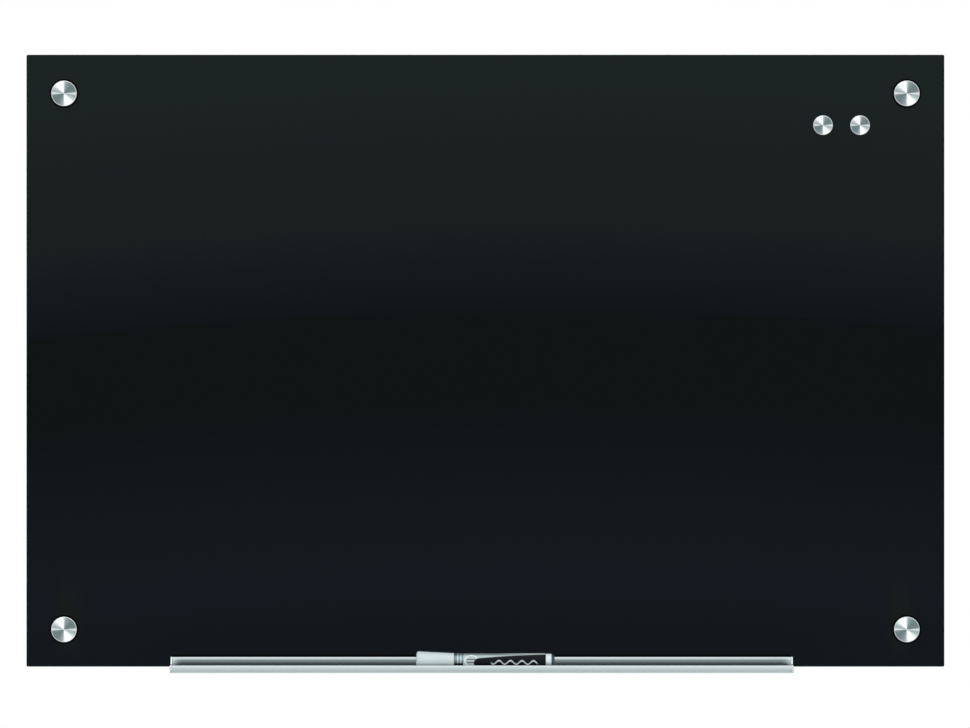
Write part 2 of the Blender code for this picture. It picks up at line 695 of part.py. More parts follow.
def make_tray():
    slide = new_empty("tray_slide", (TRAY_OFFSET, -GLASS_FRONT, TRAY_UNDERSIDE))
    add_section("tray_channel", channel_corners(), CHANNEL_LENGTH, 0.0, slide, "satin_aluminium")
    add_section("tray_gasket", gasket_corners(), CHANNEL_LENGTH, 0.0, slide, "black_rubber")
    floor = TRAY_FLOOR_THICKNESS + FIT_GAP
    for side, sign in (("left", -1), ("right", 1)):
        middle = sign * (TRAY_LENGTH - END_CAP_THICKNESS) / 2
        cap = add_section(
            f"tray_end_cap_{side}", end_cap_corners(), END_CAP_THICKNESS, middle, slide, "satin_aluminium"
        )
        ends = sorted((middle, middle - sign * (END_CAP_THICKNESS / 2 + FIT_GAP + END_CAP_TONGUE_LENGTH)))
        tongue = box_mesh(
            "end_cap_tongue",
            (ends[0], -TRAY_LIP_BACK + TRAY_INSIDE_RADIUS, floor),
            (ends[1], -TRAY_WALL_FRONT - TRAY_INSIDE_RADIUS, floor + END_CAP_TONGUE_THICKNESS),
        )
        boolean(cap, add_cutter(f"end_cap_tongue_{side}", tongue, slide), "UNION")
    return slide


def marker_cap_profile():
    """A cup: up the inside to the mouth, then down the outside to the rounded closed end."""
    points = [
        (0.0, MARKER_CAP_END_WALL),
        (MARKER_CAP_BORE_RADIUS, MARKER_CAP_END_WALL),
        (MARKER_CAP_BORE_RADIUS, MARKER_CAP_LENGTH),
        (MARKER_CAP_MOUTH_RADIUS, MARKER_CAP_LENGTH),
    ]
    flat = MARKER_CAP_RADIUS - MARKER_CAP_CORNER
    for step in range(CORNER_STEPS + 1):
        angle = math.pi / 2 * step / CORNER_STEPS
        radius = flat + MARKER_CAP_CORNER * math.cos(angle)
        points.append((radius, MARKER_CAP_CORNER * (1 - math.sin(angle))))
    points.append((0.0, 0.0))
    return points


def marker_barrel_profile():
    """A tube whose nose holds the nib, with two low rings behind the shoulder that the cap meets."""
    radius = MARKER_BARREL_RADIUS
    half = MARKER_RING_WIDTH / 2
    points = [
        (MARKER_BORE_RADIUS, MARKER_REAR),
        (radius - MARKER_BARREL_EDGE, MARKER_REAR),
        (radius, MARKER_REAR - MARKER_BARREL_EDGE),
    ]
    for offset in sorted(MARKER_RING_OFFSETS, reverse=True):
        middle = MARKER_SHOULDER + offset
        points += [
            (radius, middle + half),
            (radius + MARKER_RING_HEIGHT, middle),
            (radius, middle - half),
        ]
    points += [
        (radius, MARKER_SHOULDER + MARKER_BARREL_EDGE),
        (radius - MARKER_BARREL_EDGE, MARKER_SHOULDER),
        (MARKER_NECK_RADIUS, MARKER_SHOULDER),
        (MARKER_NECK_RADIUS, MARKER_NECK_START),
        (MARKER_CONE_TIP_RADIUS, MARKER_CONE_START),
        (MARKER_NIB_BORE_RADIUS, MARKER_CONE_START),
        (MARKER_NIB_BORE_RADIUS, MARKER_BORE_START),
        (MARKER_BORE_RADIUS, MARKER_BORE_START),
    ]
    return points


def make_marker(slide):
    """The marker lies in the tray on its wide cap and the rear of its barrel, so it tilts a little."""
    rest = TRAY_FLOOR_THICKNESS + FIT_GAP
    height = rest + MARKER_CAP_CORNER * math.sin(MARKER_TILT) + MARKER_CAP_RADIUS * math.cos(MARKER_TILT)
    middle = -(TRAY_WALL_FRONT + TRAY_LIP_BACK) / 2
    axis = new_empty(
        "marker_axis", (MARKER_OFFSET, middle, height), (0.0, math.pi / 2 + MARKER_TILT, 0.0), slide
    )
    nib_end = MARKER_BORE_START - FIT_GAP
    reservoir_start = MARKER_BORE_START + FIT_GAP
    inside = MARKER_BORE_RADIUS - FIT_GAP
    pieces = {
        "marker_cap": (marker_cap_profile(), SIDES_LARGE, False, "white_plastic"),
        "marker_barrel": (marker_barrel_profile(), SIDES_LARGE, True, "grey_plastic"),
        "marker_end_plug": (
            [
                (0.0, MARKER_END),
                (MARKER_PLUG_END_RADIUS, MARKER_END),
                (MARKER_PLUG_REAR_RADIUS, MARKER_PLUG_CONE_START),
                (MARKER_PLUG_RADIUS, MARKER_PLUG_START),
                (inside, MARKER_PLUG_START),
                (inside, MARKER_SPIGOT_END),
                (0.0, MARKER_SPIGOT_END),
            ],
            SIDES_LARGE,
            False,
            "white_plastic",
        ),
        "marker_nib": (
            [
                (0.0, nib_end),
                (MARKER_NIB_RADIUS, nib_end),
                (MARKER_NIB_RADIUS, MARKER_NIB_TIP + MARKER_NIB_POINT),
                (MARKER_NIB_POINT_RADIUS, MARKER_NIB_TIP),
                (0.0, MARKER_NIB_TIP),
            ],
            SIDES_SMALL,
            False,
            "felt",
        ),
        "marker_reservoir": (
            [
                (0.0, MARKER_SPIGOT_END - FIT_GAP),
                (inside, MARKER_SPIGOT_END - FIT_GAP),
                (inside, reservoir_start),
                (0.0, reservoir_start),
            ],
            SIDES_SMALL,
            False,
            "ink_fibre",
        ),
    }
    for name, (profile, sides, ring, material) in pieces.items():
        add_piece(name, turned_mesh(name, profile, sides, ring), axis, material)


clear_scene()
parts = new_collection("glass_whiteboard")
cutters = new_collection("cutters")
materials = make_materials()
board_face = new_empty("board_face", (0.0, 0.0, 0.0), (math.pi / 2, 0.0, 0.0))
make_panels(board_face)
make_fixings(board_face)
make_magnets(board_face)
make_marker(make_tray())
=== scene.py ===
"""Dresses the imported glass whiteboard: fine shapes, finishes, studio light and camera.

The wall is the plane Y = 0, the board hangs in front of it towards -Y, and the centre of the glass is X = 0,
Z = 0. Lengths are in metres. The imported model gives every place; this file adds what the eye sees.
"""

import json
import math
from types import SimpleNamespace

import bpy
import numpy as np
from bpy.props import FloatProperty, FloatVectorProperty, PointerProperty
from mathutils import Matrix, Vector

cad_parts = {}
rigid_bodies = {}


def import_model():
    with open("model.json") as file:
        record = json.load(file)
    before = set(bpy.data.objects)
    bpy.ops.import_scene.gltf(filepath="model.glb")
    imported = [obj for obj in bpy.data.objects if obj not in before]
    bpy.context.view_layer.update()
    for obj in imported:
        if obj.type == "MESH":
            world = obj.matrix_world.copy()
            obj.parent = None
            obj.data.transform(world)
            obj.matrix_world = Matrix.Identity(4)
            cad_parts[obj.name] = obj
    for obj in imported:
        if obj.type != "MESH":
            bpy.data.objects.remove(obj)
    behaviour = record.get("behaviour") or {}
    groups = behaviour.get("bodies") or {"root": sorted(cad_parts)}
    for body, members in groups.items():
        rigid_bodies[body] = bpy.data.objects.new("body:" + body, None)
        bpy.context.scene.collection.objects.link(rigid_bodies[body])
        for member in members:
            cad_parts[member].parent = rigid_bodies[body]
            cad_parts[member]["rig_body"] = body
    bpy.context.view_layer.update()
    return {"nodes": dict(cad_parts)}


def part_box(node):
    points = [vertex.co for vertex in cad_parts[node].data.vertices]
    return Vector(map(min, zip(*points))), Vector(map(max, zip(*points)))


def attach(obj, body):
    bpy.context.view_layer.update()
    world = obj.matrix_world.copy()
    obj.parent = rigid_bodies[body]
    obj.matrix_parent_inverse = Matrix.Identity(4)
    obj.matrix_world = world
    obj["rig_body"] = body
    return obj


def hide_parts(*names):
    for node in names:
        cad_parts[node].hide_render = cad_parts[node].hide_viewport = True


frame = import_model()

bl_info = {
    "name": "Glass whiteboard",
    "version": (1, 0, 0),
    "blender": (4, 5, 0),
    "location": "3D View > Sidebar > Whiteboard",
    "description": "Dresses the frame of a glass whiteboard with its finishes and fine shapes",
    "category": "Object",
}

MM = 0.001


def lengths(**millimetres):
    """A piece's own lengths by name, given in millimetres."""
    return SimpleNamespace(**{name: size * MM for name, size in millimetres.items()})


CORNERS = ("top_left", "top_right", "bottom_left", "bottom_right")
SIDES = ("left", "right")

# Where the camera stands and how wide it sees, from the photograph's perspective
CAMERA_DISTANCE = 14.0
CAMERA_AIM = (-0.4 * MM, -3.3 * MM)
CAMERA_WIDTH = 966.35 * MM
SENSOR_WIDTH = 36.0

# Axes of a turned piece: across, up and along. The fixings point away from the wall.
AWAY_FROM_WALL = np.array([(1.0, 0.0, 0.0), (0.0, 0.0, 1.0), (0.0, -1.0, 0.0)])

# How fine the surfaces are, and when two points or directions count as one
TURN_STEPS = 96
SMALL_TURN_STEPS = 48
CORNER_STEPS = 6
FEW_CORNER_STEPS = 4
THREAD_ROWS = 8
SCREW_ROWS = 150
SCREW_FACE_ROWS = 28
ANCHOR_ROWS = (40, 90)
LEG_STEPS = 22
LIP_ROWS = 9
WALL_ROWS = 20
WALL_SAMPLES = 200
FLARE_ROWS = 13
EDGE_ROWS = 7
SMOOTH_ANGLE = math.radians(24)
SAME_POINT = 1e-7
SAME_DIRECTION = 1e-6

# Fixings and magnets. The stud's thread is M8, cut to the depth of its flanks. A thread has THREAD_ROWS rows
# to a pitch, counted over the length inside the barrel less the spare.
FIT_GAP = 0.3 * MM
THREAD = lengths(pitch=1.25, depth=0.68, lead=0.4, runout=0.8)
CAP = lengths(back_edge=0.25, tip_length=0.9, tip_bevel=0.8, spare=1.6)
MAGNET = lengths(back_edge=0.3, mouth_edge=0.15, disc_edge=0.25)
BARREL = lengths(
    edge=0.6, base=2.5, hole=2.4, hole_edge=0.2, recess=0.8, recess_radius=4.4, recess_edge=0.15,
    mouth_edge=0.5, thread_inset=0.6, thread_depth=0.3, spare=1.5,
)
WASHER_EDGE = 0.3 * MM
BUSHING_EDGE = 0.2 * MM
SCREW = lengths(
    head=2.4, head_edge=0.7, seat_edge=0.15, shank=2.1, neck=0.5, plain=4.0, taper=6.0, point=0.3,
    thread_pitch=2.0, thread_depth=0.55, arm=0.6, arm_edge=0.25, reach=2.3, reach_edge=0.5, recess=1.4,
)
SCREW_POINT_SHARE = 0.02
ANCHOR = lengths(bore=2.4, root=3.7, rib=0.4, sleeve=12.0, gap=0.2, nose=6.0, draft=0.6, slit=0.6)
ANCHOR_RIBS = 8

# The tray's section: f is the distance in front of the glass, h the height above its underside
TRAY = lengths(
    lip_height=7.62, lip_thickness=1.6, lip_edge=0.55, lip_setback=0.16, lip_root=0.1, toe=0.9, toe_edge=0.5,
    face_start=1.1, face_margin=2.0, floor=1.2, floor_edge=1.0, wall_start=2.8, wall_rise=0.16,
    wall_edge=0.68, wall_foot=0.05, roll=0.76, slot_gap=1.6, slot_floor=4.1, flange=1.5, web=1.5,
    glass=4.0, rear_height=14.2, edge=0.6,
)
WALL_SHARES = (0.0, 0.14, 0.28, 0.41, 0.55, 0.69, 0.83, 0.97, 1.0)
WALL_SLOPES = (0.047, 0.061, 0.078, 0.0865, 0.0955, 0.0985, 0.128, 0.230, 0.250)
FLARE = lengths(out=0.56, length=12.0, ends_at=6.0)
PLATE = lengths(
    thickness=1.85, rise=0.3, inset=0.15, setback=0.2, shoulder=6.4, shoulder_edge=0.9, fall=4.6, hollow=3.0,
    wide_edge=0.45, fine_edge=0.05, draft=0.35, draft_rise=1.0,
)
TONGUE = lengths(height=1.2, from_lip=1.0, from_wall=1.6, top_edge=0.4, low_edge=0.2, sunk=0.5)
LINING = lengths(
    wall=1.0, bead_start=0.2, bead_out=0.7, rear_drop=0.5, edge=0.3, fine_edge=0.2, notch_edge=0.15
)

# The marker's axis starts at the middle of its cap's closed end. Its outlines are in millimetres, each corner
# as its distance from the axis, its place along it and its rounding.
MARKER_START = (-69.3 * MM, -40.35 * MM, -299.23 * MM)
MARKER_TILT = math.radians(0.386)
MARKER_RADIUS = 8.9
MARKER_RINGS = (41.8, 44.8)
BEAD = ((8.62, -0.65, 0.05), (8.84, -0.3, 0.2), (8.84, 0.3, 0.2), (8.62, 0.65, 0.05))
PEN_CAP = (
    (0.0, 1.15, 0.0), (5.2, 1.15, 0.2), (5.5, 0.6, 0.2), (8.5, 0.85, 1.0), (9.98, 1.9, 1.3),
    (10.0, 4.0, 0.0), (9.8, 7.8, 0.0), (9.4, 16.0, 0.0), (9.05, 25.7, 0.0), (8.58, 36.2, 0.2),
    (8.7, 36.6, 0.3), (8.7, 37.8, 0.2), (8.38, 38.0, 0.1), (7.95, 38.0, 0.15), (7.95, 2.4, 0.6),
    (0.0, 2.4, 0.0),
)
PEN_BARREL = (
    (2.8, 14.3, 0.2), (3.6, 14.3, 0.4), (7.7, 30.3, 1.2), (7.7, 38.3, 0.1), (8.62, 38.3, 0.3),
    *[(radius, ring + along, edge) for ring in MARKER_RINGS for radius, along, edge in BEAD],
    (MARKER_RADIUS, 129.1, 0.4), (6.6, 129.1, 0.2), (6.6, 33.3, 0.0), (2.8, 33.3, 0.0),
)
PEN_PLUG = (
    (0.0, 121.4, 0.0), (6.3, 121.4, 0.3), (6.3, 129.4, 0.1), (8.6, 129.4, 0.2), (8.4, 135.2, 0.9),
    (6.9, 138.1, 0.3), (5.6, 138.1, 0.2), (5.1, 137.6, 0.3), (0.0, 137.6, 0.0),
)
PEN_NIB = ((0.0, 7.8, 0.0), (1.3, 7.8, 0.6), (2.5, 10.8, 0.6), (2.5, 33.0, 0.2), (0.0, 33.0, 0.0))
PEN_RESERVOIR = ((0.0, 33.6, 0.0), (6.3, 33.6, 0.5), (6.3, 121.1, 0.5), (0.0, 121.1, 0.0))

# Where the finishes change over a piece. On the label, along is in millimetres and up a share of the radius.
GLASS = lengths(edge_start=0.7, edge_end=0.3, paint=0.4)
ZINC_BEND = 7.0 * MM
RAIL = lengths(wall_start=-26.0, wall_end=-25.4, lip_end=-57.4, lip_start=-57.0)
# Where the painted shade on the underside of the marker's cap and plug begins and ends, by height from the
# axis
PEN_SHADE = lengths(cap_low=-5.0, cap_high=-0.8, plug_low=-4.3, plug_high=1.6)
PLUG_END = (134.3, 135.5)
COLLAR_END = (47.1, 47.5)
OVAL = SimpleNamespace(along=55.5, up=0.12, length=7.0, height=0.62, bar=0.17)
STROKE = SimpleNamespace(start=(74.0, 76.0), end=(120.0, 122.0), rate=0.55, height=0.20, drop=0.02)

# Tones that a mirror shows, as place, red, green, blue: up the glass, round the softboxes and up the room
WINDOW_TONES = (
    (0.10, 0.125, 0.175, 0.240), (0.16, 0.148, 0.200, 0.280), (0.30, 0.125, 0.175, 0.235),
    (0.41, 0.100, 0.125, 0.160), (0.43, 0.090, 0.110, 0.110), (0.578, 0.090, 0.110, 0.110),
    (0.592, 0.110, 0.150, 0.220), (0.66, 0.150, 0.205, 0.265), (0.72, 0.205, 0.285, 0.285),
    (0.80, 0.210, 0.300, 0.295), (0.95, 0.250, 0.375, 0.365),
)
BOX_TONES = (
    (0.0, 0.95, 1.00, 1.00), (0.014, 0.84, 0.90, 0.90), (0.038, 0.19, 0.240, 0.245),
    (0.22, 0.17, 0.226, 0.232), (0.34, 0.22, 0.277, 0.285), (0.44, 0.36, 0.405, 0.415),
    (0.485, 0.50, 0.53, 0.53), (0.515, 1.16, 1.18, 1.18), (0.73, 1.16, 1.18, 1.18), (0.83, 0.63, 0.69, 0.70),
    (0.89, 0.44, 0.50, 0.51), (0.945, 0.36, 0.42, 0.43), (0.978, 0.90, 0.94, 0.94),
)
ROOM_TONES = (
    (0.0, 0.66, 0.69, 0.69), (0.5, 0.74, 0.77, 0.77), (0.82, 0.95, 0.99, 0.99), (0.93, 1.16, 1.19, 1.19)
)
DARK = (0.015, 0.022, 0.025)
PALE = (0.74, 0.795, 0.79)
PALE_SIDES = (0.98, 1.02, 1.03)
BRIGHT = (1.20, 1.24, 1.24)
CORNER_GLOW = (0.19, 0.25, 0.21)

# Degrees off the view's axis at which each of those gives way to the next
WINDOW_ENDS = (2.4, 3.2)
DARK_ENDS = (5.8, 16.8)
PALE_BRIGHTENS = (19, 25)
BOXES_START = (27, 30)
BOXES_END = (41, 46)

# The window in metres of the board: its half height, how its tones bow across, and the glow low at its sides
WINDOW_HALF_HEIGHT = 0.32
BOW = 0.113
BOW_MIDDLE = 0.05
GLOW_ACROSS = 0.4145
GLOW_EDGE = (0.004, 0.016)
GLOW_LOW = (-0.30, -0.27)
GLOW_HIGH = (-0.25, -0.19)

# Where each lamp stands and how wide it is, and the floor's rings, its middle along Y and its fade, in metres
KEY_LAMP = ((-1.8, -2.2, 3.2), 1.8)
FILL_LAMP = ((2.4, -3.2, -0.1), 1.6)
FLOOR_STEPS = 64
FLOOR_RINGS = (0.5, 1.0, 1.5, 2.0)
FLOOR_MIDDLE = -0.1
FLOOR_FADE = (0.9, 1.9)


# Surfaces


def grid_faces(rows, columns, closed_rows=False):
    """Quads between the neighbours of a grid that is numbered row by row and closed along its columns."""
    row = np.arange(rows if closed_rows else rows - 1)[:, None]
    column = np.arange(columns)
    here = row * columns
    below = (row + 1) % rows * columns
    ahead = (column + 1) % columns
    quads = np.broadcast_arrays(here + column, here + ahead, below + ahead, below + column)
    return np.stack(quads, axis=-1).reshape(-1, 4)


def facing_out(points, faces):
    """The faces, turned round if the volume that they enclose comes out negative.

    The volume is the sum over each face's fan of triangles of a . (b x c) / 6.
    """
    middle = points.mean(axis=0)
    volume = 0.0
    for face in faces:
        corner = points[face] - middle
        for k in range(1, face.shape[1] - 1):
            volume += np.einsum("ij,ij->", corner[:, 0], np.cross(corner[:, k], corner[:, k + 1]))
    return faces if volume > 0 else [face[:, ::-1] for face in faces]


def turned(profile, centre, axes=AWAY_FROM_WALL, steps=TURN_STEPS, ring=False, cut=0.0, sunk=0.0):
    """A surface of revolution: centre + r cos(a) U + r sin(a) V + h W, with r and h from the profile.

    a is the angle, and U, V and W are the axes. cut is taken off r and sunk off h, by row and angle. A ring's
    profile closes on itself; any other has its first and last row on the axis, and each is one point.
    """
    angle = 2 * np.pi * np.arange(steps) / steps
    radius, height, angle = np.broadcast_arrays(profile[:, :1] - cut, profile[:, 1:] - sunk, angle)
    across = np.stack([radius * np.cos(angle), radius * np.sin(angle), height], axis=-1)
    points = (across @ axes + np.asarray(centre)).reshape(-1, 3)
    marks = np.stack([radius, height, angle], axis=-1).reshape(-1, 3)
    rows = len(profile)
    if ring:
        return points, facing_out(points, [grid_faces(rows, steps, True)]), marks
    keep = np.arange(steps - 1, (rows - 1) * steps + 1)
    first = np.zeros(steps, int)
    last = np.full(steps, len(keep) - 1)
    one = 1 + np.arange(steps)
    two = 1 + (np.arange(steps) + 1) % steps
    end = (rows - 3) * steps
    faces = [
        np.stack([first, two, one], axis=-1),
        grid_faces(rows - 2, steps) + 1,
        np.stack([one + end, two + end, last], axis=-1),
    ]
    return points[keep], facing_out(points[keep], faces), marks[keep]


def lofted(rings):
    """A closed tube through the rings, each a closed loop of points, with a flat face over each end."""
    count, steps = rings.shape[:2]
    points = rings.reshape(-1, 3)
    loop = np.arange(steps)[None]
    faces = [grid_faces(count, steps), loop[:, ::-1], loop + (count - 1) * steps]
    return points, facing_out(points, faces), np.zeros_like(points)


def rounded(corners, steps=CORNER_STEPS):
    """An outline of (x, y, radius) corners, each replaced by the arc that touches both of its sides.

    The arc's centre lies on the corner's bisector, radius / sin(half angle) away.
    """
    here, radius = np.split(np.asarray(corners, float), [2], axis=1)
    back = np.roll(here, 1, axis=0) - here
    ahead = np.roll(here, -1, axis=0) - here
    back /= np.linalg.norm(back, axis=1, keepdims=True)
    ahead /= np.linalg.norm(ahead, axis=1, keepdims=True)
    bisector = back + ahead
    width = np.linalg.norm(bisector, axis=1, keepdims=True)
    half = np.arccos(np.clip(width / 2, 0, 1))
    outwards = np.where(width > SAME_DIRECTION, bisector / np.maximum(width, SAME_DIRECTION), 0)
    centre = here + outwards * radius / np.sin(half)
    start = here + back * radius / np.tan(half) - centre
    end = here + ahead * radius / np.tan(half) - centre
    sweep = np.arctan2(start[:, 0] * end[:, 1] - start[:, 1] * end[:, 0], (start * end).sum(axis=1))
    turn = sweep[:, None] * np.linspace(0, 1, steps + 1)
    x = centre[:, :1] + start[:, :1] * np.cos(turn) - start[:, 1:] * np.sin(turn)
    y = centre[:, 1:] + start[:, :1] * np.sin(turn) + start[:, 1:] * np.cos(turn)
    points = np.stack([x, y], axis=-1).reshape(-1, 2)
    step = np.linalg.norm(points - np.roll(points, 1, axis=0), axis=1)
    return points[step > SAME_POINT]


def straight(radius, start, end, rows):
    """A straight run of a profile, in rows that are close enough together to hold a thread."""
    return np.stack([np.full(rows, radius), np.linspace(start, end, rows)], axis=-1)


def thread_wave(height, steps, pitch=THREAD.pitch):
    """How deep a screw thread is cut, 0 at its crest and 1 at its root, at each height and angle.

    The wave is a triangle with cut-off tips, of height / pitch - angle / full turn.
    """
    turn = height[:, None] / pitch - np.arange(steps) / steps
    return np.clip(1.25 * np.abs(2 * (turn % 1) - 1) - 0.125, 0, 1)


def grooved_face(rim, front, settings):
    """A turned face from its middle out, whose height falls and rises by the slope over each groove."""
    outer = rim - settings.rim_edge
    count = 2 * round(outer / settings.groove_pitch) + 1
    depth = settings.groove_pitch / 2 * math.tan(settings.groove_slope)
    return np.stack([np.linspace(0.0, outer, count), front - depth * (np.arange(count) % 2)], axis=-1)


# Pieces


def add_piece(name, node, slot, material, *shells):
    """Makes a piece of closed shells. It stands for a CAD node, rides on its body and has the given finish.

    The slot is not used.
    """
    points, face_lists, marks = zip(*shells)
    offset = 0
    faces = []
    for shell_points, shell_faces in zip(points, face_lists):
        faces += [row for face in shell_faces for row in (face + offset).tolist()]
        offset += len(shell_points)
    mesh = bpy.data.meshes.new(name)
    mesh.from_pydata(np.concatenate(points).tolist(), [], faces)
    turning = mesh.attributes.new("turning", "FLOAT_VECTOR", "POINT")
    turning.data.foreach_set("vector", np.concatenate(marks).astype(np.float32).ravel())
    mesh.materials.append(material)
    mesh.shade_smooth()
    mesh.set_sharp_from_angle(angle=SMOOTH_ANGLE)
    piece = bpy.data.objects.new(name, mesh)
    bpy.context.scene.collection.objects.link(piece)
    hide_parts(node)
    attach(piece, frame["nodes"][node]["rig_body"])


def dress(node, material):
    """A CAD node that stays shown gets its finish."""
    mesh = frame["nodes"][node].data
    mesh.materials.clear()
    mesh.materials.append(material)


def on_axis(node):
    """Where a turned node's axis meets the wall, its radius, and how far off the wall it starts and ends."""
    low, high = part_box(node)
    return ((low.x + high.x) / 2, 0.0, (low.z + high.z) / 2), (high.x - low.x) / 2, -high.y, -low.y


def front_of(node):
    return -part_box(node)[0].y


# Finishes


def maths(operation, reflected=False):
    """An operator on values that adds a Math node."""

    def operator(value, *others):
        values = (*others, value) if reflected else (value, *others)
        return value.finish.node("ShaderNodeMath", {"operation": operation}, dict(enumerate(values)))

    return operator


class Value:
    """A number socket. An expression on values adds its Math nodes."""

    def __init__(self, finish, socket):
        self.finish = finish
        self.socket = socket

    __add__ = maths("ADD")
    __radd__ = __add__
    __mul__ = maths("MULTIPLY")
    __rmul__ = __mul__
    __sub__ = maths("SUBTRACT")
    __rsub__ = maths("SUBTRACT", reflected=True)
    __truediv__ = maths("DIVIDE")
    __rtruediv__ = maths("DIVIDE", reflected=True)
    __pow__ = maths("POWER")
    __rpow__ = maths("POWER", reflected=True)
    __abs__ = maths("ABSOLUTE")
    above = maths("GREATER_THAN")
    larger = maths("MAXIMUM")
    sine = maths("SINE")
    arc_cosine = maths("ARCCOSINE")
    angle_over = maths("ARCTAN2")
    fraction = maths("FRACT")


class Finish:
    """The nodes of one material or of the world."""

    def __init__(self, owner):
        owner.use_nodes = True
        self.owner = owner
        self.tree = owner.node_tree
        self.tree.nodes.clear()

    def node(self, kind, settings=None, values=None, output=0):
        """Adds a node. Its settings are set first, then each socket gets its value or link."""
        made = self.tree.nodes.new(kind)
        for name, setting in (settings or {}).items():
            if name == "stops":
                self.set_stops(made.color_ramp, setting)
            else:
                setattr(made, name, setting)
        for key, value in (values or {}).items():
            self.feed(made.inputs[key], value)
        return Value(self, made.outputs[output]) if made.outputs else None

    def feed(self, socket, value):
        if isinstance(value, Value):
            self.tree.links.new(value.socket, socket)
        elif socket.type == "RGBA":
            socket.default_value = (*value, 1.0)
        else:
            socket.default_value = value

    def set_stops(self, ramp, stops):
        ramp.elements.remove(ramp.elements[1])
        for i, (place, *colour) in enumerate(stops):
            stop = ramp.elements[0] if i == 0 else ramp.elements.new(place)
            stop.position = place
            stop.color = (*colour, 1.0)

    def ramp(self, value, stops):
        return self.node("ShaderNodeValToRGB", {"stops": stops}, {"Fac": value})

    def place(self, location=(0.0, 0.0, 0.0), rotation=(0.0, 0.0, 0.0)):
        """Object coordinates, from a centre and turned as given."""
        coordinates = self.node("ShaderNodeTexCoord", output="Object")
        values = {"Vector": coordinates, "Location": location, "Rotation": rotation}
        return self.node("ShaderNodeMapping", {"vector_type": "TEXTURE"}, values)

    def marker_place(self):
        """The place on the marker: along its axis from the cap's closed end, to the rear and up."""
        return self.place(MARKER_START, (0.0, MARKER_TILT, 0.0))

    def parts(self, vector):
        """The three numbers of a vector."""
        return [self.node("ShaderNodeSeparateXYZ", values={"Vector": vector}, output=i) for i in range(3)]

    def turning(self):
        """Radius and height on a turned piece."""
        mark = self.node("ShaderNodeAttribute", {"attribute_name": "turning"}, output="Vector")
        return self.parts(mark)[:2]

    def noise(self, vector, scale, detail=3.0, rough=0.5, output=0):
        values = {"Vector": vector, "Scale": scale, "Detail": detail, "Roughness": rough}
        return self.node("ShaderNodeTexNoise", values=values, output=output)

    def stretched_noise(self, vector, scales, detail=3.0):
        values = {0: vector, 1: scales}
        return self.noise(self.node("ShaderNodeVectorMath", {"operation": "MULTIPLY"}, values), 1.0, detail)

    def lines(self, number, scale):
        """Noise along one number: lines across it."""
        values = {"W": number, "Scale": scale, "Detail": 2.0}
        return self.node("ShaderNodeTexNoise", {"noise_dimensions": "1D"}, values)

    def ease(self, value, low, high):
        """0 up to low, 1 from high on, and a smooth step between."""
        values = {"Value": value, "From Min": low, "From Max": high}
        return self.node("ShaderNodeMapRange", {"interpolation_type": "SMOOTHSTEP"}, values)

    def fade(self, value, low, high):
        """1 up to low, 0 from high on."""
        return 1.0 - self.ease(value, low, high)

    def mix(self, mask, first, second):
        """The first colour where the mask is 0, the second where it is 1. Inputs 6 and 7 hold the colours."""
        values = {"Factor": mask, 6: first, 7: second}
        return self.node("ShaderNodeMix", {"data_type": "RGBA"}, values, output=2)

    def surface(self, colour, rough, bump=None, **sockets):
        """The Principled shader, with a bump of (height, depth in millimetres, strength).

        An underscore in the name of another socket stands for a space.
        """
        values = {"Base Color": colour, "Roughness": rough}
        values.update({name.replace("_", " "): value for name, value in sockets.items()})
        if bump:
            height, depth, strength = bump
            heights = {"Height": height, "Distance": depth * MM, "Strength": strength}
            values["Normal"] = self.node("ShaderNodeBump", values=heights)
        shader = self.node("ShaderNodeBsdfPrincipled", values=values)
        self.node("ShaderNodeOutputMaterial", values={"Surface": shader})
        return self.owner


def finish(name):
    return Finish(bpy.data.materials.new(name))


def scaled(colour, share):
    return tuple(share * c for c in colour)


def shared(name, recipe, *settings):
    """A finish that more than one operator uses: made once, and found again by its name.

    The name differs from the slots' names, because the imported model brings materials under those.
    """
    return bpy.data.materials.get(name) or recipe(*settings)


def black_glass(settings):
    """Clear glass painted black behind: black and glossy in front, green at its edge, matt paint behind."""
    make = finish("black_glass")
    place = make.place()
    x, y, z = make.parts(place)
    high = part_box("glass_panel")[1]
    edge = make.ease((abs(x) - high.x).larger(abs(z) - high.z), -GLASS.edge_start, -GLASS.edge_end)
    behind = y.above(high.y - GLASS.paint)
    film = make.noise(place, 3.0, 5.0)
    grain = make.noise(place, 240.0, 4.0)
    front = make.mix(film, settings.colour, scaled(settings.colour, 0.82))
    green = make.mix(make.noise(place, 60.0), settings.edge_colour, (0.004, 0.014, 0.011))
    paint = make.mix(grain, (0.010, 0.010, 0.011), (0.018, 0.018, 0.019))
    colour = make.mix(behind, make.mix(edge, front, green), paint)
    rough = 0.006 + 0.004 * film + 0.10 * edge + 0.45 * behind
    return make.surface(colour, rough, (grain * behind, 0.05, 0.5), IOR=1.5)


def zinc_steel():
    """Galvanised sheet: dull metal with frosted crystals, whose borders a noise bends."""
    make = finish("zinc_steel")
    place = make.place()
    drift = make.noise(place, 150.0, output="Color")
    values = {0: drift, 1: (ZINC_BEND, ZINC_BEND, ZINC_BEND), 2: place}
    bent = make.node("ShaderNodeVectorMath", {"operation": "MULTIPLY_ADD"}, values)
    crystals = make.node("ShaderNodeTexVoronoi", values={"Vector": bent, "Scale": 125.0}, output="Color")
    frost = make.noise(place, 1100.0, 4.0, 0.65)
    tone = 0.55 * make.parts(crystals)[0] + 0.45 * frost
    colour = make.mix(tone, (0.38, 0.40, 0.42), (0.58, 0.60, 0.61))
    return make.surface(colour, 0.32 + 0.16 * tone, (frost, 0.02, 0.3), Metallic=1.0)


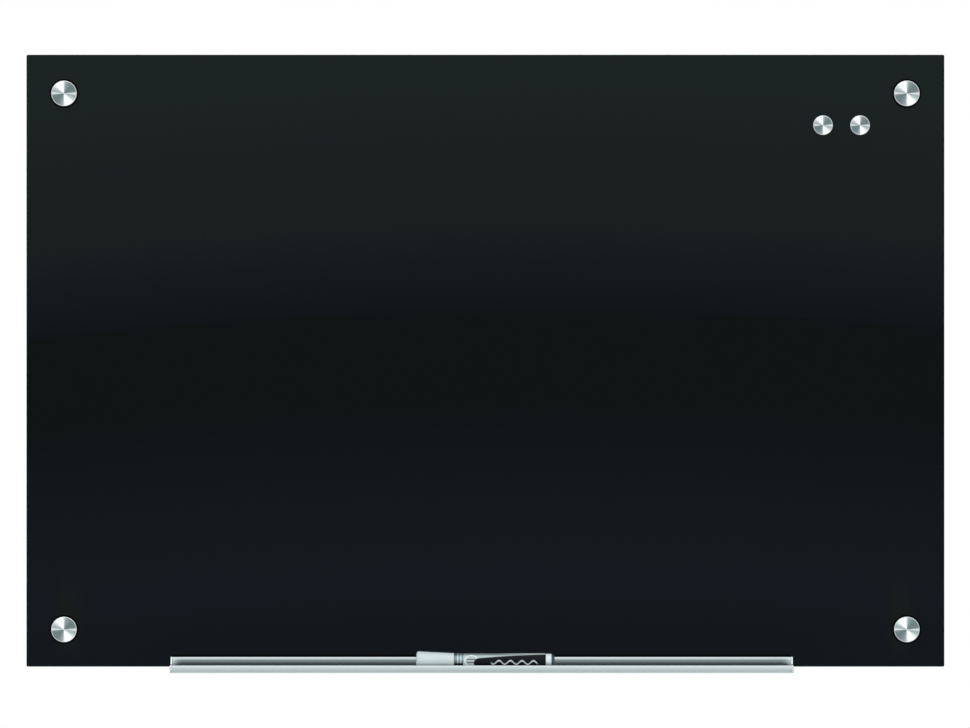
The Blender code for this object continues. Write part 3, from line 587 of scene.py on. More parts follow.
def spun_aluminium(settings):
    """Turned aluminium: fine lines round the axis, each a little brighter or duller."""
    make = finish("lathe_lines")
    radius, height = make.turning()
    line = make.lines(radius + height, 9000.0)
    tone = make.lines(radius - height, 2200.0)
    colour = make.mix(tone, scaled(settings.colour, 0.9), settings.colour)
    return make.surface(colour, 0.07 + 0.06 * line, (line, 0.01, 0.12), Metallic=1.0)


def rubber():
    make = finish("matt_rubber")
    place = make.place()
    grain = make.noise(place, 2500.0, 2.0)
    colour = make.mix(make.noise(place, 300.0), (0.0011, 0.0012, 0.0013), (0.0024, 0.0026, 0.0028))
    return make.surface(colour, 0.62 + 0.2 * grain, (grain, 0.03, 0.6), Specular_IOR_Level=0.02)


def clear_vinyl():
    make = finish("clear_vinyl")
    cloud = make.noise(make.place(), 400.0, 4.0)
    colour = make.mix(cloud, (0.66, 0.69, 0.68), (0.78, 0.80, 0.79))
    rough = 0.25 + 0.15 * cloud
    return make.surface(colour, rough, (cloud, 0.05, 0.3), Transmission_Weight=0.35, IOR=1.45)


def nylon():
    make = finish("nylon")
    cloud = make.noise(make.place(), 500.0, 5.0)
    colour = make.mix(cloud, (0.56, 0.56, 0.52), (0.66, 0.66, 0.62))
    return make.surface(colour, 0.42 + 0.15 * cloud, (cloud, 0.04, 0.5))


def screw_steel():
    """Zinc-plated steel with a faint yellow passivation."""
    make = finish("screw_steel")
    stain = make.noise(make.place(), 260.0, 4.0)
    colour = make.mix(stain, (0.62, 0.58, 0.44), (0.66, 0.65, 0.60))
    return make.surface(colour, 0.24 + 0.16 * stain, Metallic=1.0)


def satin_aluminium(settings):
    """Extruded and anodised: fine lines along the length, polished on the back wall and on the lip."""
    make = finish("satin_aluminium")
    place = make.place()
    y = make.parts(place)[1]
    wall = make.ease(y, RAIL.wall_start, RAIL.wall_end)
    lip = make.fade(y, RAIL.lip_end, RAIL.lip_start)
    line = make.stretched_noise(place, (3.0, 2600.0, 2600.0))
    cloud = make.stretched_noise(place, (6.0, 60.0, 60.0))
    colour = make.mix(0.5 * cloud + 0.5 * line, scaled(settings.colour, 0.88), scaled(settings.colour, 1.04))
    rough = 0.28 - 0.20 * wall - 0.11 * lip + 0.05 * line
    return make.surface(colour, rough, (line, 0.01, 0.10), Metallic=1.0)


def end_cap_finish():
    """The tray's end plates: cast and anodised, with a fine blasted grain."""
    make = finish("end_plate")
    place = make.place()
    peel = make.noise(place, 900.0, 2.0)
    colour = make.mix(make.noise(place, 90.0), (0.84, 0.89, 0.89), (0.90, 0.94, 0.94))
    return make.surface(colour, 0.22 + 0.08 * peel, (peel, 0.01, 0.25), Metallic=1.0)


def magnet_nickel():
    make = finish("magnet_nickel")
    line = make.lines(make.turning()[0], 3000.0)
    colour = make.mix(line, (0.52, 0.50, 0.46), (0.62, 0.60, 0.56))
    return make.surface(colour, 0.18 + 0.14 * line, Metallic=1.0)


def cap_plastic(settings):
    """Moulded polypropylene with a fine grain, and painted shade that greys the side lying in the tray."""
    make = finish("cap_plastic")
    place = make.marker_place()
    grain = make.noise(place, 1500.0, 2.0)
    colour = make.mix(make.noise(place, 60.0), settings.cap_colour, scaled(settings.cap_colour, 0.94))
    # Painted shade: the cap darkens towards its underside, where it lies in the tray.
    low = make.fade(make.parts(place)[2], PEN_SHADE.cap_low, PEN_SHADE.cap_high)
    colour = make.mix(low, colour, scaled(settings.cap_colour, 0.45))
    glow = {"Subsurface_Weight": 0.08, "Subsurface_Radius": (0.004, 0.004, 0.004), "Subsurface_Scale": 1.0}
    return make.surface(colour, 0.36 + 0.10 * grain, (grain, 0.02, 0.35), **glow)


def marker_label(settings):
    """The barrel's plain label: a silver field and band over black, behind a grey collar with two pale rings.

    up is the height on the barrel as a share of its radius. The silver band's lower edge rises along the
    barrel as a parabola, and the black field starts behind a bowed edge. An oval with two bars lies on the
    silver, and a pale sine stroke on the black. The silver darkens towards its top as painted shade, and the
    collar and its rings carry a painted reflection and painted shade across their height.
    """
    make = finish("marker_label")
    place = make.marker_place()
    along, _, up = make.parts(place)
    along = along / MM
    up = up / (MARKER_RADIUS * MM)
    grain = make.noise(place, 700.0)
    silver = make.mix(make.noise(place, 90.0), (0.36, 0.43, 0.44), (0.56, 0.64, 0.64))
    # Painted shade: the silver darkens towards its top, fading out along the barrel.
    silver = make.mix(make.ease(up, 0.62, 0.95) * make.fade(along, 75.0, 125.0), silver, (0.10, 0.125, 0.13))
    run = along - 64.2
    band = make.ease(up - (0.45 + 0.0107 * run - 0.0000594 * run * run), -0.05, 0.05)
    start = make.ease(along - (57.5 + 14.0 * (up + 0.1) * (up + 0.1)), -0.5, 0.5)
    black = start * (1.0 - band)
    colour = make.mix(black, silver, (0.004, 0.006, 0.007))
    wave = (STROKE.rate * along).sine() * STROKE.height - STROKE.drop
    stroke = make.fade(abs(up - wave), 0.06, 0.12) * make.ease(along, *STROKE.start)
    colour = make.mix(stroke * make.fade(along, *STROKE.end) * black, colour, (0.50, 0.58, 0.58))
    oval = ((along - OVAL.along) / OVAL.length) ** 2.0 + ((up - OVAL.up) / OVAL.height) ** 2.0
    outline = make.ease(oval, 0.74, 0.86) * make.fade(oval, 1.0, 1.12) * (1.0 - start)
    colour = make.mix(outline, colour, (0.78, 0.86, 0.86))
    bars = make.fade(abs(abs(up - OVAL.up) - OVAL.bar), 0.035, 0.06) * make.fade(oval, 0.45, 0.6)
    colour = make.mix(bars * (1.0 - start), colour, (0.03, 0.045, 0.05))
    # Painted reflection and painted shade: the collar and its rings are dark at the bottom and the top,
    # brightest a little above the middle.
    painted_shade = make.ease(up, -0.24, 0.02) * (0.6 + 0.4 * make.ease(up, 0.05, 0.38))
    painted_shade = painted_shade * (1.0 - 0.85 * make.ease(up, 0.45, 0.92))
    grey = make.mix(painted_shade, (0.003, 0.006, 0.007), settings.collar_colour)
    rings = sum(make.fade(abs(along - ring), 0.50, 0.80) for ring in MARKER_RINGS)
    grey = make.mix(rings * painted_shade, grey, (0.66, 0.80, 0.84))
    colour = make.mix(make.fade(along, *COLLAR_END), colour, grey)
    return make.surface(colour, 0.32 + 0.08 * grain, (grain, 0.01, 0.4), Specular_IOR_Level=0.12)


def plug_plastic(settings):
    """The end plug: a pale ring with painted shade on its underside, and a dark end."""
    make = finish("plug_plastic")
    place = make.marker_place()
    along, _, up = make.parts(place)
    grain = make.noise(place, 1500.0, 2.0)
    # Painted shade: the ring darkens towards its underside, where it lies in the tray.
    low = make.fade(up, PEN_SHADE.plug_low, PEN_SHADE.plug_high)
    ring = make.mix(low, settings.plug_colour, scaled(settings.plug_colour, 0.32))
    colour = make.mix(make.ease(along / MM, *PLUG_END), ring, (0.030, 0.050, 0.060))
    return make.surface(colour, 0.34 + 0.1 * grain, (grain, 0.02, 0.3))


def felt():
    make = finish("felt")
    fibre = make.stretched_noise(make.marker_place(), (400.0, 5000.0, 5000.0), 4.0)
    colour = make.mix(fibre, (0.006, 0.006, 0.008), (0.03, 0.03, 0.034))
    return make.surface(colour, 0.8 + 0.15 * fibre, (fibre, 0.08, 0.8), Sheen_Weight=0.3)


def ink_fibre():
    make = finish("ink_fibre")
    fibre = make.stretched_noise(make.marker_place(), (60.0, 3000.0, 3000.0), 4.0)
    colour = make.mix(fibre, (0.10, 0.10, 0.12), (0.34, 0.34, 0.36))
    return make.surface(colour, 0.9, (fibre, 0.1, 0.8))


# Shapes of the pieces


def cap_shape(corner, settings):
    """The cap: a grooved face, a rounded rim and a threaded stud, turned in one profile."""
    centre, rim, back, front = on_axis(f"standoff_cap_{corner}")
    head_back = front_of(f"front_washer_{corner}") + FIT_GAP
    barrel_front = front_of(f"standoff_barrel_{corner}")
    thread_start = barrel_front + THREAD.lead
    stud = settings.stud_radius
    shoulder = rounded([
        (rim - settings.rim_edge, front, 0.0), (rim, front, settings.rim_edge),
        (rim, head_back, CAP.back_edge), (stud, head_back, 0.0),
    ])[1:]
    neck = [(stud, front_of("glass_panel"))]
    rows = int((barrel_front - back - CAP.spare) / THREAD.pitch * THREAD_ROWS)
    thread = straight(stud, thread_start, back + CAP.tip_length, rows)
    tip = [(stud - CAP.tip_bevel, back), (0.0, back)]
    profile = np.concatenate([grooved_face(rim, front, settings), shoulder, neck, thread, tip])
    height = profile[:, 1]
    run = np.clip((thread_start - height) / THREAD.runout, 0, 1) * (height > back)
    return turned(profile, centre, cut=THREAD.depth * run[:, None] * thread_wave(height, TURN_STEPS))


def magnet_shape(side, settings):
    """The magnet's shell: a grooved face and rounded rim, open behind for its disc."""
    centre, rim, back, front = on_axis(f"magnet_shell_{side}")
    _, disc, _, disc_front = on_axis(f"magnet_core_{side}")
    bore = disc + FIT_GAP
    roof = disc_front + FIT_GAP
    body = rounded([
        (rim - settings.rim_edge, front, 0.0), (rim, front, settings.rim_edge), (rim, back, MAGNET.back_edge),
        (bore, back, MAGNET.mouth_edge), (bore, roof, 0.0), (0.0, roof, 0.0),
    ])[1:]
    return turned(np.concatenate([grooved_face(rim, front, settings), body]), centre)


def disc_shape(side):
    centre, radius, back, front = on_axis(f"magnet_core_{side}")
    edge = MAGNET.disc_edge
    corners = [(0.0, front, 0.0), (radius, front, edge), (radius, back, edge), (0.0, back, 0.0)]
    return turned(rounded(corners), centre)


def barrel_shape(corner, settings):
    """The stand-off barrel: rounded ends, a threaded bore for the stud and a screw hole in its base."""
    centre, radius, back, front = on_axis(f"standoff_barrel_{corner}")
    bore = settings.stud_radius + FIT_GAP
    floor = back + BARREL.base
    outside = rounded([
        (bore + BARREL.mouth_edge, front, 0.0), (radius, front, BARREL.edge), (radius, back, BARREL.edge),
        (BARREL.recess_radius, back, BARREL.recess_edge), (BARREL.recess_radius, back + BARREL.recess, 0.0),
        (BARREL.hole, back + BARREL.recess, 0.0), (BARREL.hole, floor, BARREL.hole_edge), (bore, floor, 0.0),
    ])
    rows = int((front - floor - BARREL.spare) / THREAD.pitch * THREAD_ROWS)
    thread = straight(bore, floor + BARREL.thread_inset, front - BARREL.mouth_edge, rows)
    profile = np.concatenate([outside, thread])
    height = profile[:, 1]
    inside = (np.arange(len(profile)) >= len(outside)) & (height < front - BARREL.thread_inset)
    cut = -BARREL.thread_depth * inside[:, None] * thread_wave(height, TURN_STEPS)
    return turned(profile, centre, ring=True, cut=cut)


def ring_shape(node, bore, edge, skirt=0.0):
    """A washer or sleeve: a rounded section turned about the axis. A skirt widens it at the back."""
    centre, outer, back, front = on_axis(node)
    corners = [(bore, front, edge), (outer, front, edge), (outer + skirt, back, edge), (bore, back, edge)]
    return turned(rounded(corners, FEW_CORNER_STEPS), centre, ring=True)


def screw_shape(corner):
    """A wood screw: a domed pan head with a cross recess, and a helical thread that ends in a point.

    The recess lowers the head's height by a smooth mask of |x| and |z|, the two arms of the cross.
    """
    centre, head, point, top = on_axis(f"wall_screw_{corner}")
    seat = top - SCREW.head
    flat = head - SCREW.head_edge
    rings = np.linspace(0.0, flat, SCREW_FACE_ROWS)
    face = np.stack([rings, np.full(len(rings), top)], axis=-1)
    corners = [
        (flat, top, 0.0), (head, top, SCREW.head_edge), (head, seat, SCREW.seat_edge),
        (SCREW.shank, seat, 0.0),
    ]
    shaft = straight(SCREW.shank, seat - SCREW.neck, point + SCREW.point, SCREW_ROWS)
    profile = np.concatenate([face, rounded(corners)[1:], shaft, [(0.0, point)]])
    radius, height = profile.T[..., None]
    threaded = (height < seat - SCREW.plain) & (height > point)
    thread = SCREW.thread_depth * threaded * thread_wave(profile[:, 1], SMALL_TURN_STEPS, SCREW.thread_pitch)
    taper = np.clip((height - point) / SCREW.taper, SCREW_POINT_SHARE, 1)
    cut = np.where(height < seat, radius - (radius - thread) * taper, 0)
    angle = 2 * np.pi * np.arange(SMALL_TURN_STEPS) / SMALL_TURN_STEPS
    off_arm = radius * np.minimum(np.abs(np.cos(angle)), np.abs(np.sin(angle)))
    arm = np.clip((SCREW.arm - off_arm) / SCREW.arm_edge, 0, 1)
    reach = np.clip((SCREW.reach - radius) / SCREW.reach_edge, 0, 1)
    on_face = (np.arange(len(profile)) < len(face))[:, None]
    sunk = SCREW.recess * arm * reach * on_face
    return turned(profile, centre, steps=SMALL_TURN_STEPS, cut=cut, sunk=sunk)


def anchor_shapes(corner):
    """A nylon plug: a ribbed sleeve that is split into two legs further in.

    The ribs are a saw-tooth of the depth. A leg's section is a half ring whose flat sides lie at the slit.
    """
    centre, _, tip, top = on_axis(f"wall_anchor_{corner}")
    split = top - ANCHOR.sleeve
    nose = tip + ANCHOR.nose
    rib_pitch = (top - tip - ANCHOR.nose) / ANCHOR_RIBS

    def outer(height):
        rise = ((top - height) / rib_pitch) % 1
        rib = ANCHOR.rib * (1 - rise) * (height > nose)
        return ANCHOR.root + rib - ANCHOR.draft * np.clip((nose - height) / ANCHOR.nose, 0, 1)

    height = np.linspace(top, split - ANCHOR.gap, ANCHOR_ROWS[0])
    inside = [(ANCHOR.bore, height[-1]), (ANCHOR.bore, top)]
    profile = np.concatenate([np.stack([outer(height), height], axis=-1), inside])
    shells = [turned(profile, centre, steps=SMALL_TURN_STEPS, ring=True)]
    height = np.linspace(split, tip, ANCHOR_ROWS[1])[:, None]
    radius = outer(height)
    sweep = np.linspace(0, 1, LEG_STEPS)
    outside = np.arcsin(ANCHOR.slit / radius)
    inside = np.full_like(radius, math.asin(ANCHOR.slit / ANCHOR.bore))
    out_angle = outside + (np.pi - 2 * outside) * sweep
    in_angle = inside + (np.pi - 2 * inside) * sweep[::-1]
    x = np.concatenate([radius * np.cos(out_angle), ANCHOR.bore * np.cos(in_angle)], axis=1)
    y = np.concatenate([radius * np.sin(out_angle), ANCHOR.bore * np.sin(in_angle)], axis=1)
    for side in (1, -1):
        leg = np.stack([x, side * y, np.broadcast_to(height, x.shape)], axis=-1)
        shells.append(lofted(leg @ AWAY_FROM_WALL + np.asarray(centre)))
    return shells


def along_tray(outlines, places):
    """Sections (f, h) at their places along x. A single section is carried straight through all places."""
    places = np.asarray(places)
    places = places[:, None] if places.ndim == 1 else places
    outlines = np.broadcast_to(outlines, (len(places), *outlines.shape[-2:]))
    x = np.broadcast_to(places, outlines.shape[:2])
    y = -front_of("glass_panel") - outlines[..., 0]
    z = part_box("tray_channel")[0].z + outlines[..., 1]
    return lofted(np.stack([x, y, z], axis=-1))


def inset(outline, distance):
    """The outline moved inwards along its points' normals, each square to the chord of the neighbours."""
    chord = np.roll(outline, -1, axis=0) - np.roll(outline, 1, axis=0)
    normal = np.stack([-chord[:, 1], chord[:, 0]], axis=-1) / np.linalg.norm(chord, axis=1, keepdims=True)
    area = (outline[:, 0] * np.roll(outline[:, 1], -1) - outline[:, 1] * np.roll(outline[:, 0], -1)).sum()
    return outline + math.copysign(distance, area) * normal


def lip_face(depth, lean):
    """The lip's toe and front: f = depth - lean (5 s + s^3) / 6, so that it leans back more at its top."""
    share = np.linspace(0, 1, LIP_ROWS)
    rise = TRAY.face_start + (TRAY.lip_height - TRAY.face_margin) * share
    face = np.stack([depth - lean * (5 * share + share**3) / 6, rise, 0 * share], axis=-1)
    return np.concatenate([[(depth - TRAY.toe, 0.0, TRAY.toe_edge)], face])


def wall_front(height):
    """The front of the back wall, as a function of h.

    It leans back by WALL_SLOPES at WALL_SHARES of the way from the lip's height to its top, and its place is
    the integral of those.
    """
    rise = np.linspace(0, height - TRAY.roll, WALL_SAMPLES)
    share = (rise - TRAY.lip_height) / (rise[-1] - TRAY.lip_height)
    slope = np.interp(share, WALL_SHARES, WALL_SLOPES)
    out = np.cumsum(slope[::-1])[::-1] * (rise[1] - rise[0])
    return lambda h: TRAY.slot_gap + TRAY.flange + np.interp(h, rise, out)


def channel_outline(depth, height, lean):
    """The tray's section: a leaning lip, the floor, a tapered back wall and the slot for the glass."""
    gap = TRAY.slot_gap
    slot_rear = -TRAY.glass - gap
    rear = slot_rear - TRAY.flange
    web = TRAY.slot_floor - TRAY.web
    top = depth - lean - TRAY.lip_setback
    front = wall_front(height)
    rise = np.linspace(TRAY.wall_start, height - TRAY.roll, WALL_ROWS)
    wall = np.stack([front(rise), rise, 0 * rise], axis=-1)
    floor = [
        (top, TRAY.lip_height, TRAY.lip_edge), (top - TRAY.lip_thickness, TRAY.lip_height, TRAY.lip_edge),
        (depth - TRAY.lip_thickness - TRAY.lip_root, TRAY.floor, TRAY.floor_edge),
        (front(0.0) + TRAY.wall_foot, TRAY.floor, TRAY.floor_edge),
    ]
    slot = [
        (gap + TRAY.flange - TRAY.wall_foot, height, TRAY.wall_edge), (gap, height, TRAY.wall_edge),
        (gap, TRAY.slot_floor, 0.0), (slot_rear, TRAY.slot_floor, 0.0),
        (slot_rear, TRAY.rear_height, TRAY.edge), (rear, TRAY.rear_height, TRAY.edge),
        (rear, web, TRAY.floor_edge), (gap, web, 0.0), (gap, 0.0, 0.0),
    ]
    return rounded(np.concatenate([lip_face(depth, lean), floor, wall, slot]))


def flared_rail(outline, left, right):
    """The rail: the section straight through, with its back wall curved forward next to the end plates.

    At the distance d from an end the wall stands FLARE.out (1 - d / FLARE.length)^2 further out.
    """
    run = FLARE.length * np.linspace(0, 1, FLARE_ROWS)
    places = np.concatenate([left + run, right - run[::-1]])
    out = FLARE.out * (1 - np.concatenate([run, run[::-1]]) / FLARE.length) ** 2
    share = np.clip((outline[:, 0] - TRAY.slot_gap) / TRAY.flange, 0, 1) * (outline[:, 0] < FLARE.ends_at)
    outlines = np.repeat(outline[None], len(places), axis=0)
    outlines[..., 0] += out[:, None] * share
    return along_tray(outlines, places)


def end_outline(depth, height, lean):
    """The end plate's section: a little higher than the back wall beside it, and then as high as the lip."""
    top = height + PLATE.rise
    rest = [
        (depth - lean - PLATE.setback, TRAY.lip_height, TRAY.edge),
        (PLATE.shoulder + PLATE.fall, TRAY.lip_height, PLATE.hollow),
        (PLATE.shoulder, top, PLATE.shoulder_edge), (TRAY.slot_gap, top, TRAY.edge),
        (TRAY.slot_gap, 0.0, 0.0),
    ]
    return rounded(np.concatenate([lip_face(depth, lean), rest]))


def end_plate_shape(section, outward, sign):
    """The end plate: its edges are quarter rounds, wide outside and fine inside, and a draft thins its top.

    The draft grows over PLATE.draft_rise above the lip, and is 0 on the inner face.
    """
    turn = np.linspace(0, np.pi / 2, EDGE_ROWS)
    wide_depth = PLATE.wide_edge * (1 - np.cos(turn))
    fine_depth = PLATE.thickness - PLATE.fine_edge * (1 - np.sin(turn))
    depth = np.concatenate([wide_depth, fine_depth])[:, None]
    inwards = np.concatenate([PLATE.wide_edge * (1 - np.sin(turn)), PLATE.fine_edge * (1 - np.cos(turn))])
    outlines = np.stack([inset(section, distance) for distance in inwards])
    above_lip = np.clip((outlines[..., 1] - TRAY.lip_height) / PLATE.draft_rise, 0, 1)
    draft = PLATE.draft * above_lip * (1 - depth / PLATE.thickness)
    return along_tray(outlines, outward + sign * (depth + draft))


def tongue_outline(depth):
    """The end plate's tongue, which lies on the tray's floor between the lip and the back wall."""
    floor = TRAY.floor + FIT_GAP
    top = floor + TONGUE.height
    front = depth - TRAY.lip_thickness - TONGUE.from_lip
    rear = TRAY.slot_gap + TRAY.flange + TONGUE.from_wall
    return rounded([
        (front, floor, TONGUE.low_edge), (front, top, TONGUE.top_edge),
        (rear, top, TONGUE.top_edge), (rear, floor, TONGUE.low_edge),
    ])


def lining_outline(height, bead):
    """The rubber lining: a U round the glass edge, whose front limb ends in a bead above the tray's wall."""
    outer = FIT_GAP + LINING.wall
    rear_inner = -TRAY.glass - FIT_GAP
    rear_outer = rear_inner - LINING.wall
    rear_top = TRAY.rear_height - LINING.rear_drop
    low = TRAY.slot_floor + FIT_GAP
    floor = low + LINING.wall
    bead_out = outer + LINING.bead_out
    bead_low = height + LINING.bead_start
    bead_top = height + bead
    return rounded([
        (outer, low, LINING.edge), (outer, bead_low, 0.0), (bead_out, bead_low, LINING.notch_edge),
        (bead_out, bead_top, LINING.edge), (FIT_GAP, bead_top, LINING.edge),
        (FIT_GAP, floor, LINING.fine_edge), (rear_inner, floor, LINING.fine_edge),
        (rear_inner, rear_top, LINING.fine_edge), (rear_outer, rear_top, LINING.edge),
        (rear_outer, low, LINING.edge),
    ])


def pen_shape(outline, steps=TURN_STEPS, ring=False):
    """A piece of the marker, turned about its axis, which points right and tilts down to its rear."""
    along = np.array((math.cos(MARKER_TILT), 0.0, -math.sin(MARKER_TILT)))
    across = np.array((0.0, -1.0, 0.0))
    axes = np.array([across, np.cross(along, across), along])
    profile = rounded(MM * np.array(outline), FEW_CORNER_STEPS if ring else CORNER_STEPS)
    return turned(profile, MARKER_START, axes, steps, ring)


# Settings that a user would change


def length_setting(name, description, default):
    return FloatProperty(name=name, description=description, unit="LENGTH", default=default)


def colour_setting(name, description, default):
    return FloatVectorProperty(
        name=name, description=description, subtype="COLOR", size=3, min=0.0, max=1.0, default=default
    )


class GlassSettings(bpy.types.PropertyGroup):
    colour: colour_setting("Glass colour", "Colour of the paint behind the glass", (0.0022, 0.0026, 0.0030))
    edge_colour: colour_setting("Edge colour", "Green of the ground glass edge", (0.008, 0.026, 0.021))


class SpunSettings(bpy.types.PropertyGroup):
    groove_pitch: length_setting("Groove pitch", "Distance between two turning grooves", 0.42 * MM)
    groove_slope: FloatProperty(
        name="Groove slope", description="Slope of a groove's sides", subtype="ANGLE",
        default=math.radians(17),
    )
    rim_edge: length_setting("Rim edge", "Radius of the rounded rim", 0.8 * MM)
    stud_radius: length_setting("Stud radius", "Outer radius of the stud's thread", 4.0 * MM)
    washer_skirt: length_setting("Washer skirt", "How far the front washer spreads on the glass", 0.8 * MM)
    colour: colour_setting("Metal colour", "Colour of the turned aluminium", (0.90, 0.93, 0.94))


class TraySettings(bpy.types.PropertyGroup):
    lean: length_setting("Lip lean", "How far the lip's top stands behind its foot", 0.80 * MM)
    bead: length_setting("Lining bead", "How far the rubber stands above the wall", 2.2 * MM)
    colour: colour_setting("Tray colour", "Colour of the anodised aluminium", (0.82, 0.89, 0.90))


class MarkerSettings(bpy.types.PropertyGroup):
    cap_colour: colour_setting("Cap colour", "Colour of the marker's cap", (0.59, 0.685, 0.71))
    collar_colour: colour_setting("Collar colour", "Colour of the collar behind the cap", (0.235, 0.32, 0.35))
    plug_colour: colour_setting("Plug colour", "Colour of the end plug's ring", (0.68, 0.765, 0.79))


class StudioSettings(bpy.types.PropertyGroup):
    ambient: FloatProperty(
        name="Ambient", description="Light from all round on what isn't glossy", default=0.60, min=0.0
    )
    key_power: FloatProperty(
        name="Key light", description="Power of the light at upper left", unit="POWER",
        default=78.0, min=0.0,
    )
    fill_power: FloatProperty(
        name="Fill light", description="Power of the light at lower right", unit="POWER",
        default=30.0, min=0.0,
    )
    floor_height: length_setting("Floor height", "Height of the floor", -0.62)


# Operators


class WHITEBOARD_OT_panel(bpy.types.Operator):
    """Gives the glass and the steel sheet their finishes"""

    bl_idname = "whiteboard.panel"
    bl_label = "Glass and steel"

    def execute(self, context):
        dress("glass_panel", black_glass(context.scene.whiteboard_glass))
        dress("steel_backing", zinc_steel())
        return {"FINISHED"}


class WHITEBOARD_OT_caps(bpy.types.Operator):
    """Makes the four spun caps with their threaded studs, and the magnets' spun shells"""

    bl_idname = "whiteboard.caps"
    bl_label = "Stand-off caps and magnets"

    def execute(self, context):
        settings = context.scene.whiteboard_spun
        metal = shared("lathe_lines", spun_aluminium, settings)
        for corner in CORNERS:
            shape = cap_shape(corner, settings)
            add_piece(f"spun_cap_{corner}", f"standoff_cap_{corner}", "spun_aluminium", metal, shape)
        for side in SIDES:
            shape = magnet_shape(side, settings)
            add_piece(f"spun_magnet_{side}", f"magnet_shell_{side}", "spun_aluminium", metal, shape)
        return {"FINISHED"}


class WHITEBOARD_OT_fixings(bpy.types.Operator):
    """Makes the barrels, washers, sleeves, screws, anchors and magnet discs"""

    bl_idname = "whiteboard.fixings"
    bl_label = "Stand-offs and fixings"

    def execute(self, context):
        settings = context.scene.whiteboard_spun
        metal = shared("lathe_lines", spun_aluminium, settings)
        black = shared("matt_rubber", rubber)
        vinyl = clear_vinyl()
        plated = screw_steel()
        plug = nylon()
        bore = settings.stud_radius + FIT_GAP
        for corner in CORNERS:
            front = ring_shape(f"front_washer_{corner}", bore, WASHER_EDGE, settings.washer_skirt)
            rear = ring_shape(f"rear_washer_{corner}", bore, WASHER_EDGE)
            sleeve = ring_shape(f"glass_bushing_{corner}", bore, BUSHING_EDGE)
            for name, node, slot, material, *shells in (
                ("turned_barrel", "standoff_barrel", "spun_aluminium", metal, barrel_shape(corner, settings)),
                ("soft_front_washer", "front_washer", "black_rubber", black, front),
                ("soft_rear_washer", "rear_washer", "clear_vinyl", vinyl, rear),
                ("soft_glass_bushing", "glass_bushing", "clear_vinyl", vinyl, sleeve),
                ("wood_screw", "wall_screw", "screw_steel", plated, screw_shape(corner)),
                ("nylon_plug", "wall_anchor", "nylon", plug, *anchor_shapes(corner)),
            ):
                add_piece(f"{name}_{corner}", f"{node}_{corner}", slot, material, *shells)
        nickel = magnet_nickel()
        for side in SIDES:
            add_piece(f"magnet_disc_{side}", f"magnet_core_{side}", "magnet_nickel", nickel, disc_shape(side))
        return {"FINISHED"}


class WHITEBOARD_OT_tray(bpy.types.Operator):
    """Makes the tray with its rubber lining and end plates"""

    bl_idname = "whiteboard.tray"
    bl_label = "Marker tray"

    def execute(self, context):
        settings = context.scene.whiteboard_tray
        low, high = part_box("tray_channel")
        depth = -low.y - front_of("glass_panel")
        height = high.z - low.z + TRAY.wall_rise
        rail = flared_rail(channel_outline(depth, height, settings.lean), low.x, high.x)
        add_piece("tray_rail", "tray_channel", "satin_aluminium", satin_aluminium(settings), rail)
        lining = along_tray(lining_outline(height, settings.bead), (low.x, high.x))
        add_piece("tray_lining", "tray_gasket", "black_rubber", shared("matt_rubber", rubber), lining)
        metal = end_cap_finish()
        section = end_outline(depth, height, settings.lean)
        for side, sign in zip(SIDES, (1, -1)):
            node = f"tray_end_cap_{side}"
            ends = sorted((corner.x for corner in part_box(node)), reverse=sign < 0)
            outward = ends[0] + sign * PLATE.inset
            root = outward + sign * (PLATE.thickness - TONGUE.sunk)
            plate = end_plate_shape(section, outward, sign)
            tongue = along_tray(tongue_outline(depth), (root, ends[1]))
            add_piece(f"end_plate_{side}", node, "satin_aluminium", metal, plate, tongue)
        return {"FINISHED"}


class WHITEBOARD_OT_marker(bpy.types.Operator):
    """Makes the marker: cap, barrel with its plain label, end plug, nib and reservoir"""

    bl_idname = "whiteboard.marker"
    bl_label = "Marker"

    def execute(self, context):
        settings = context.scene.whiteboard_marker
        barrel = pen_shape(PEN_BARREL, ring=True)
        nib = pen_shape(PEN_NIB, SMALL_TURN_STEPS)
        reservoir = pen_shape(PEN_RESERVOIR, SMALL_TURN_STEPS)
        for name, node, slot, material, shape in (
            ("pen_cap", "marker_cap", "white_plastic", cap_plastic(settings), pen_shape(PEN_CAP)),
            ("pen_barrel", "marker_barrel", "grey_plastic", marker_label(settings), barrel),
            ("pen_plug", "marker_end_plug", "white_plastic", plug_plastic(settings), pen_shape(PEN_PLUG)),
            ("pen_nib", "marker_nib", "felt", felt(), nib),
            ("pen_reservoir", "marker_reservoir", "ink_fibre", ink_fibre(), reservoir),
        ):
            add_piece(name, node, slot, material, shape)
        return {"FINISHED"}


class WHITEBOARD_OT_studio(bpy.types.Operator):
    """Sets up the floor, the lights, the surroundings and the camera"""

    bl_idname = "whiteboard.studio"
    bl_label = "Studio"

    def execute(self, context):
        settings = context.scene.whiteboard_studio
        context.scene.view_settings.view_transform = "Standard"
        make_floor(settings)
        add_lamp("key", settings.key_power, *KEY_LAMP)
        add_lamp("fill", settings.fill_power, *FILL_LAMP)
        make_surroundings(context.scene, settings)
        make_camera(context.scene)
        return {"FINISHED"}


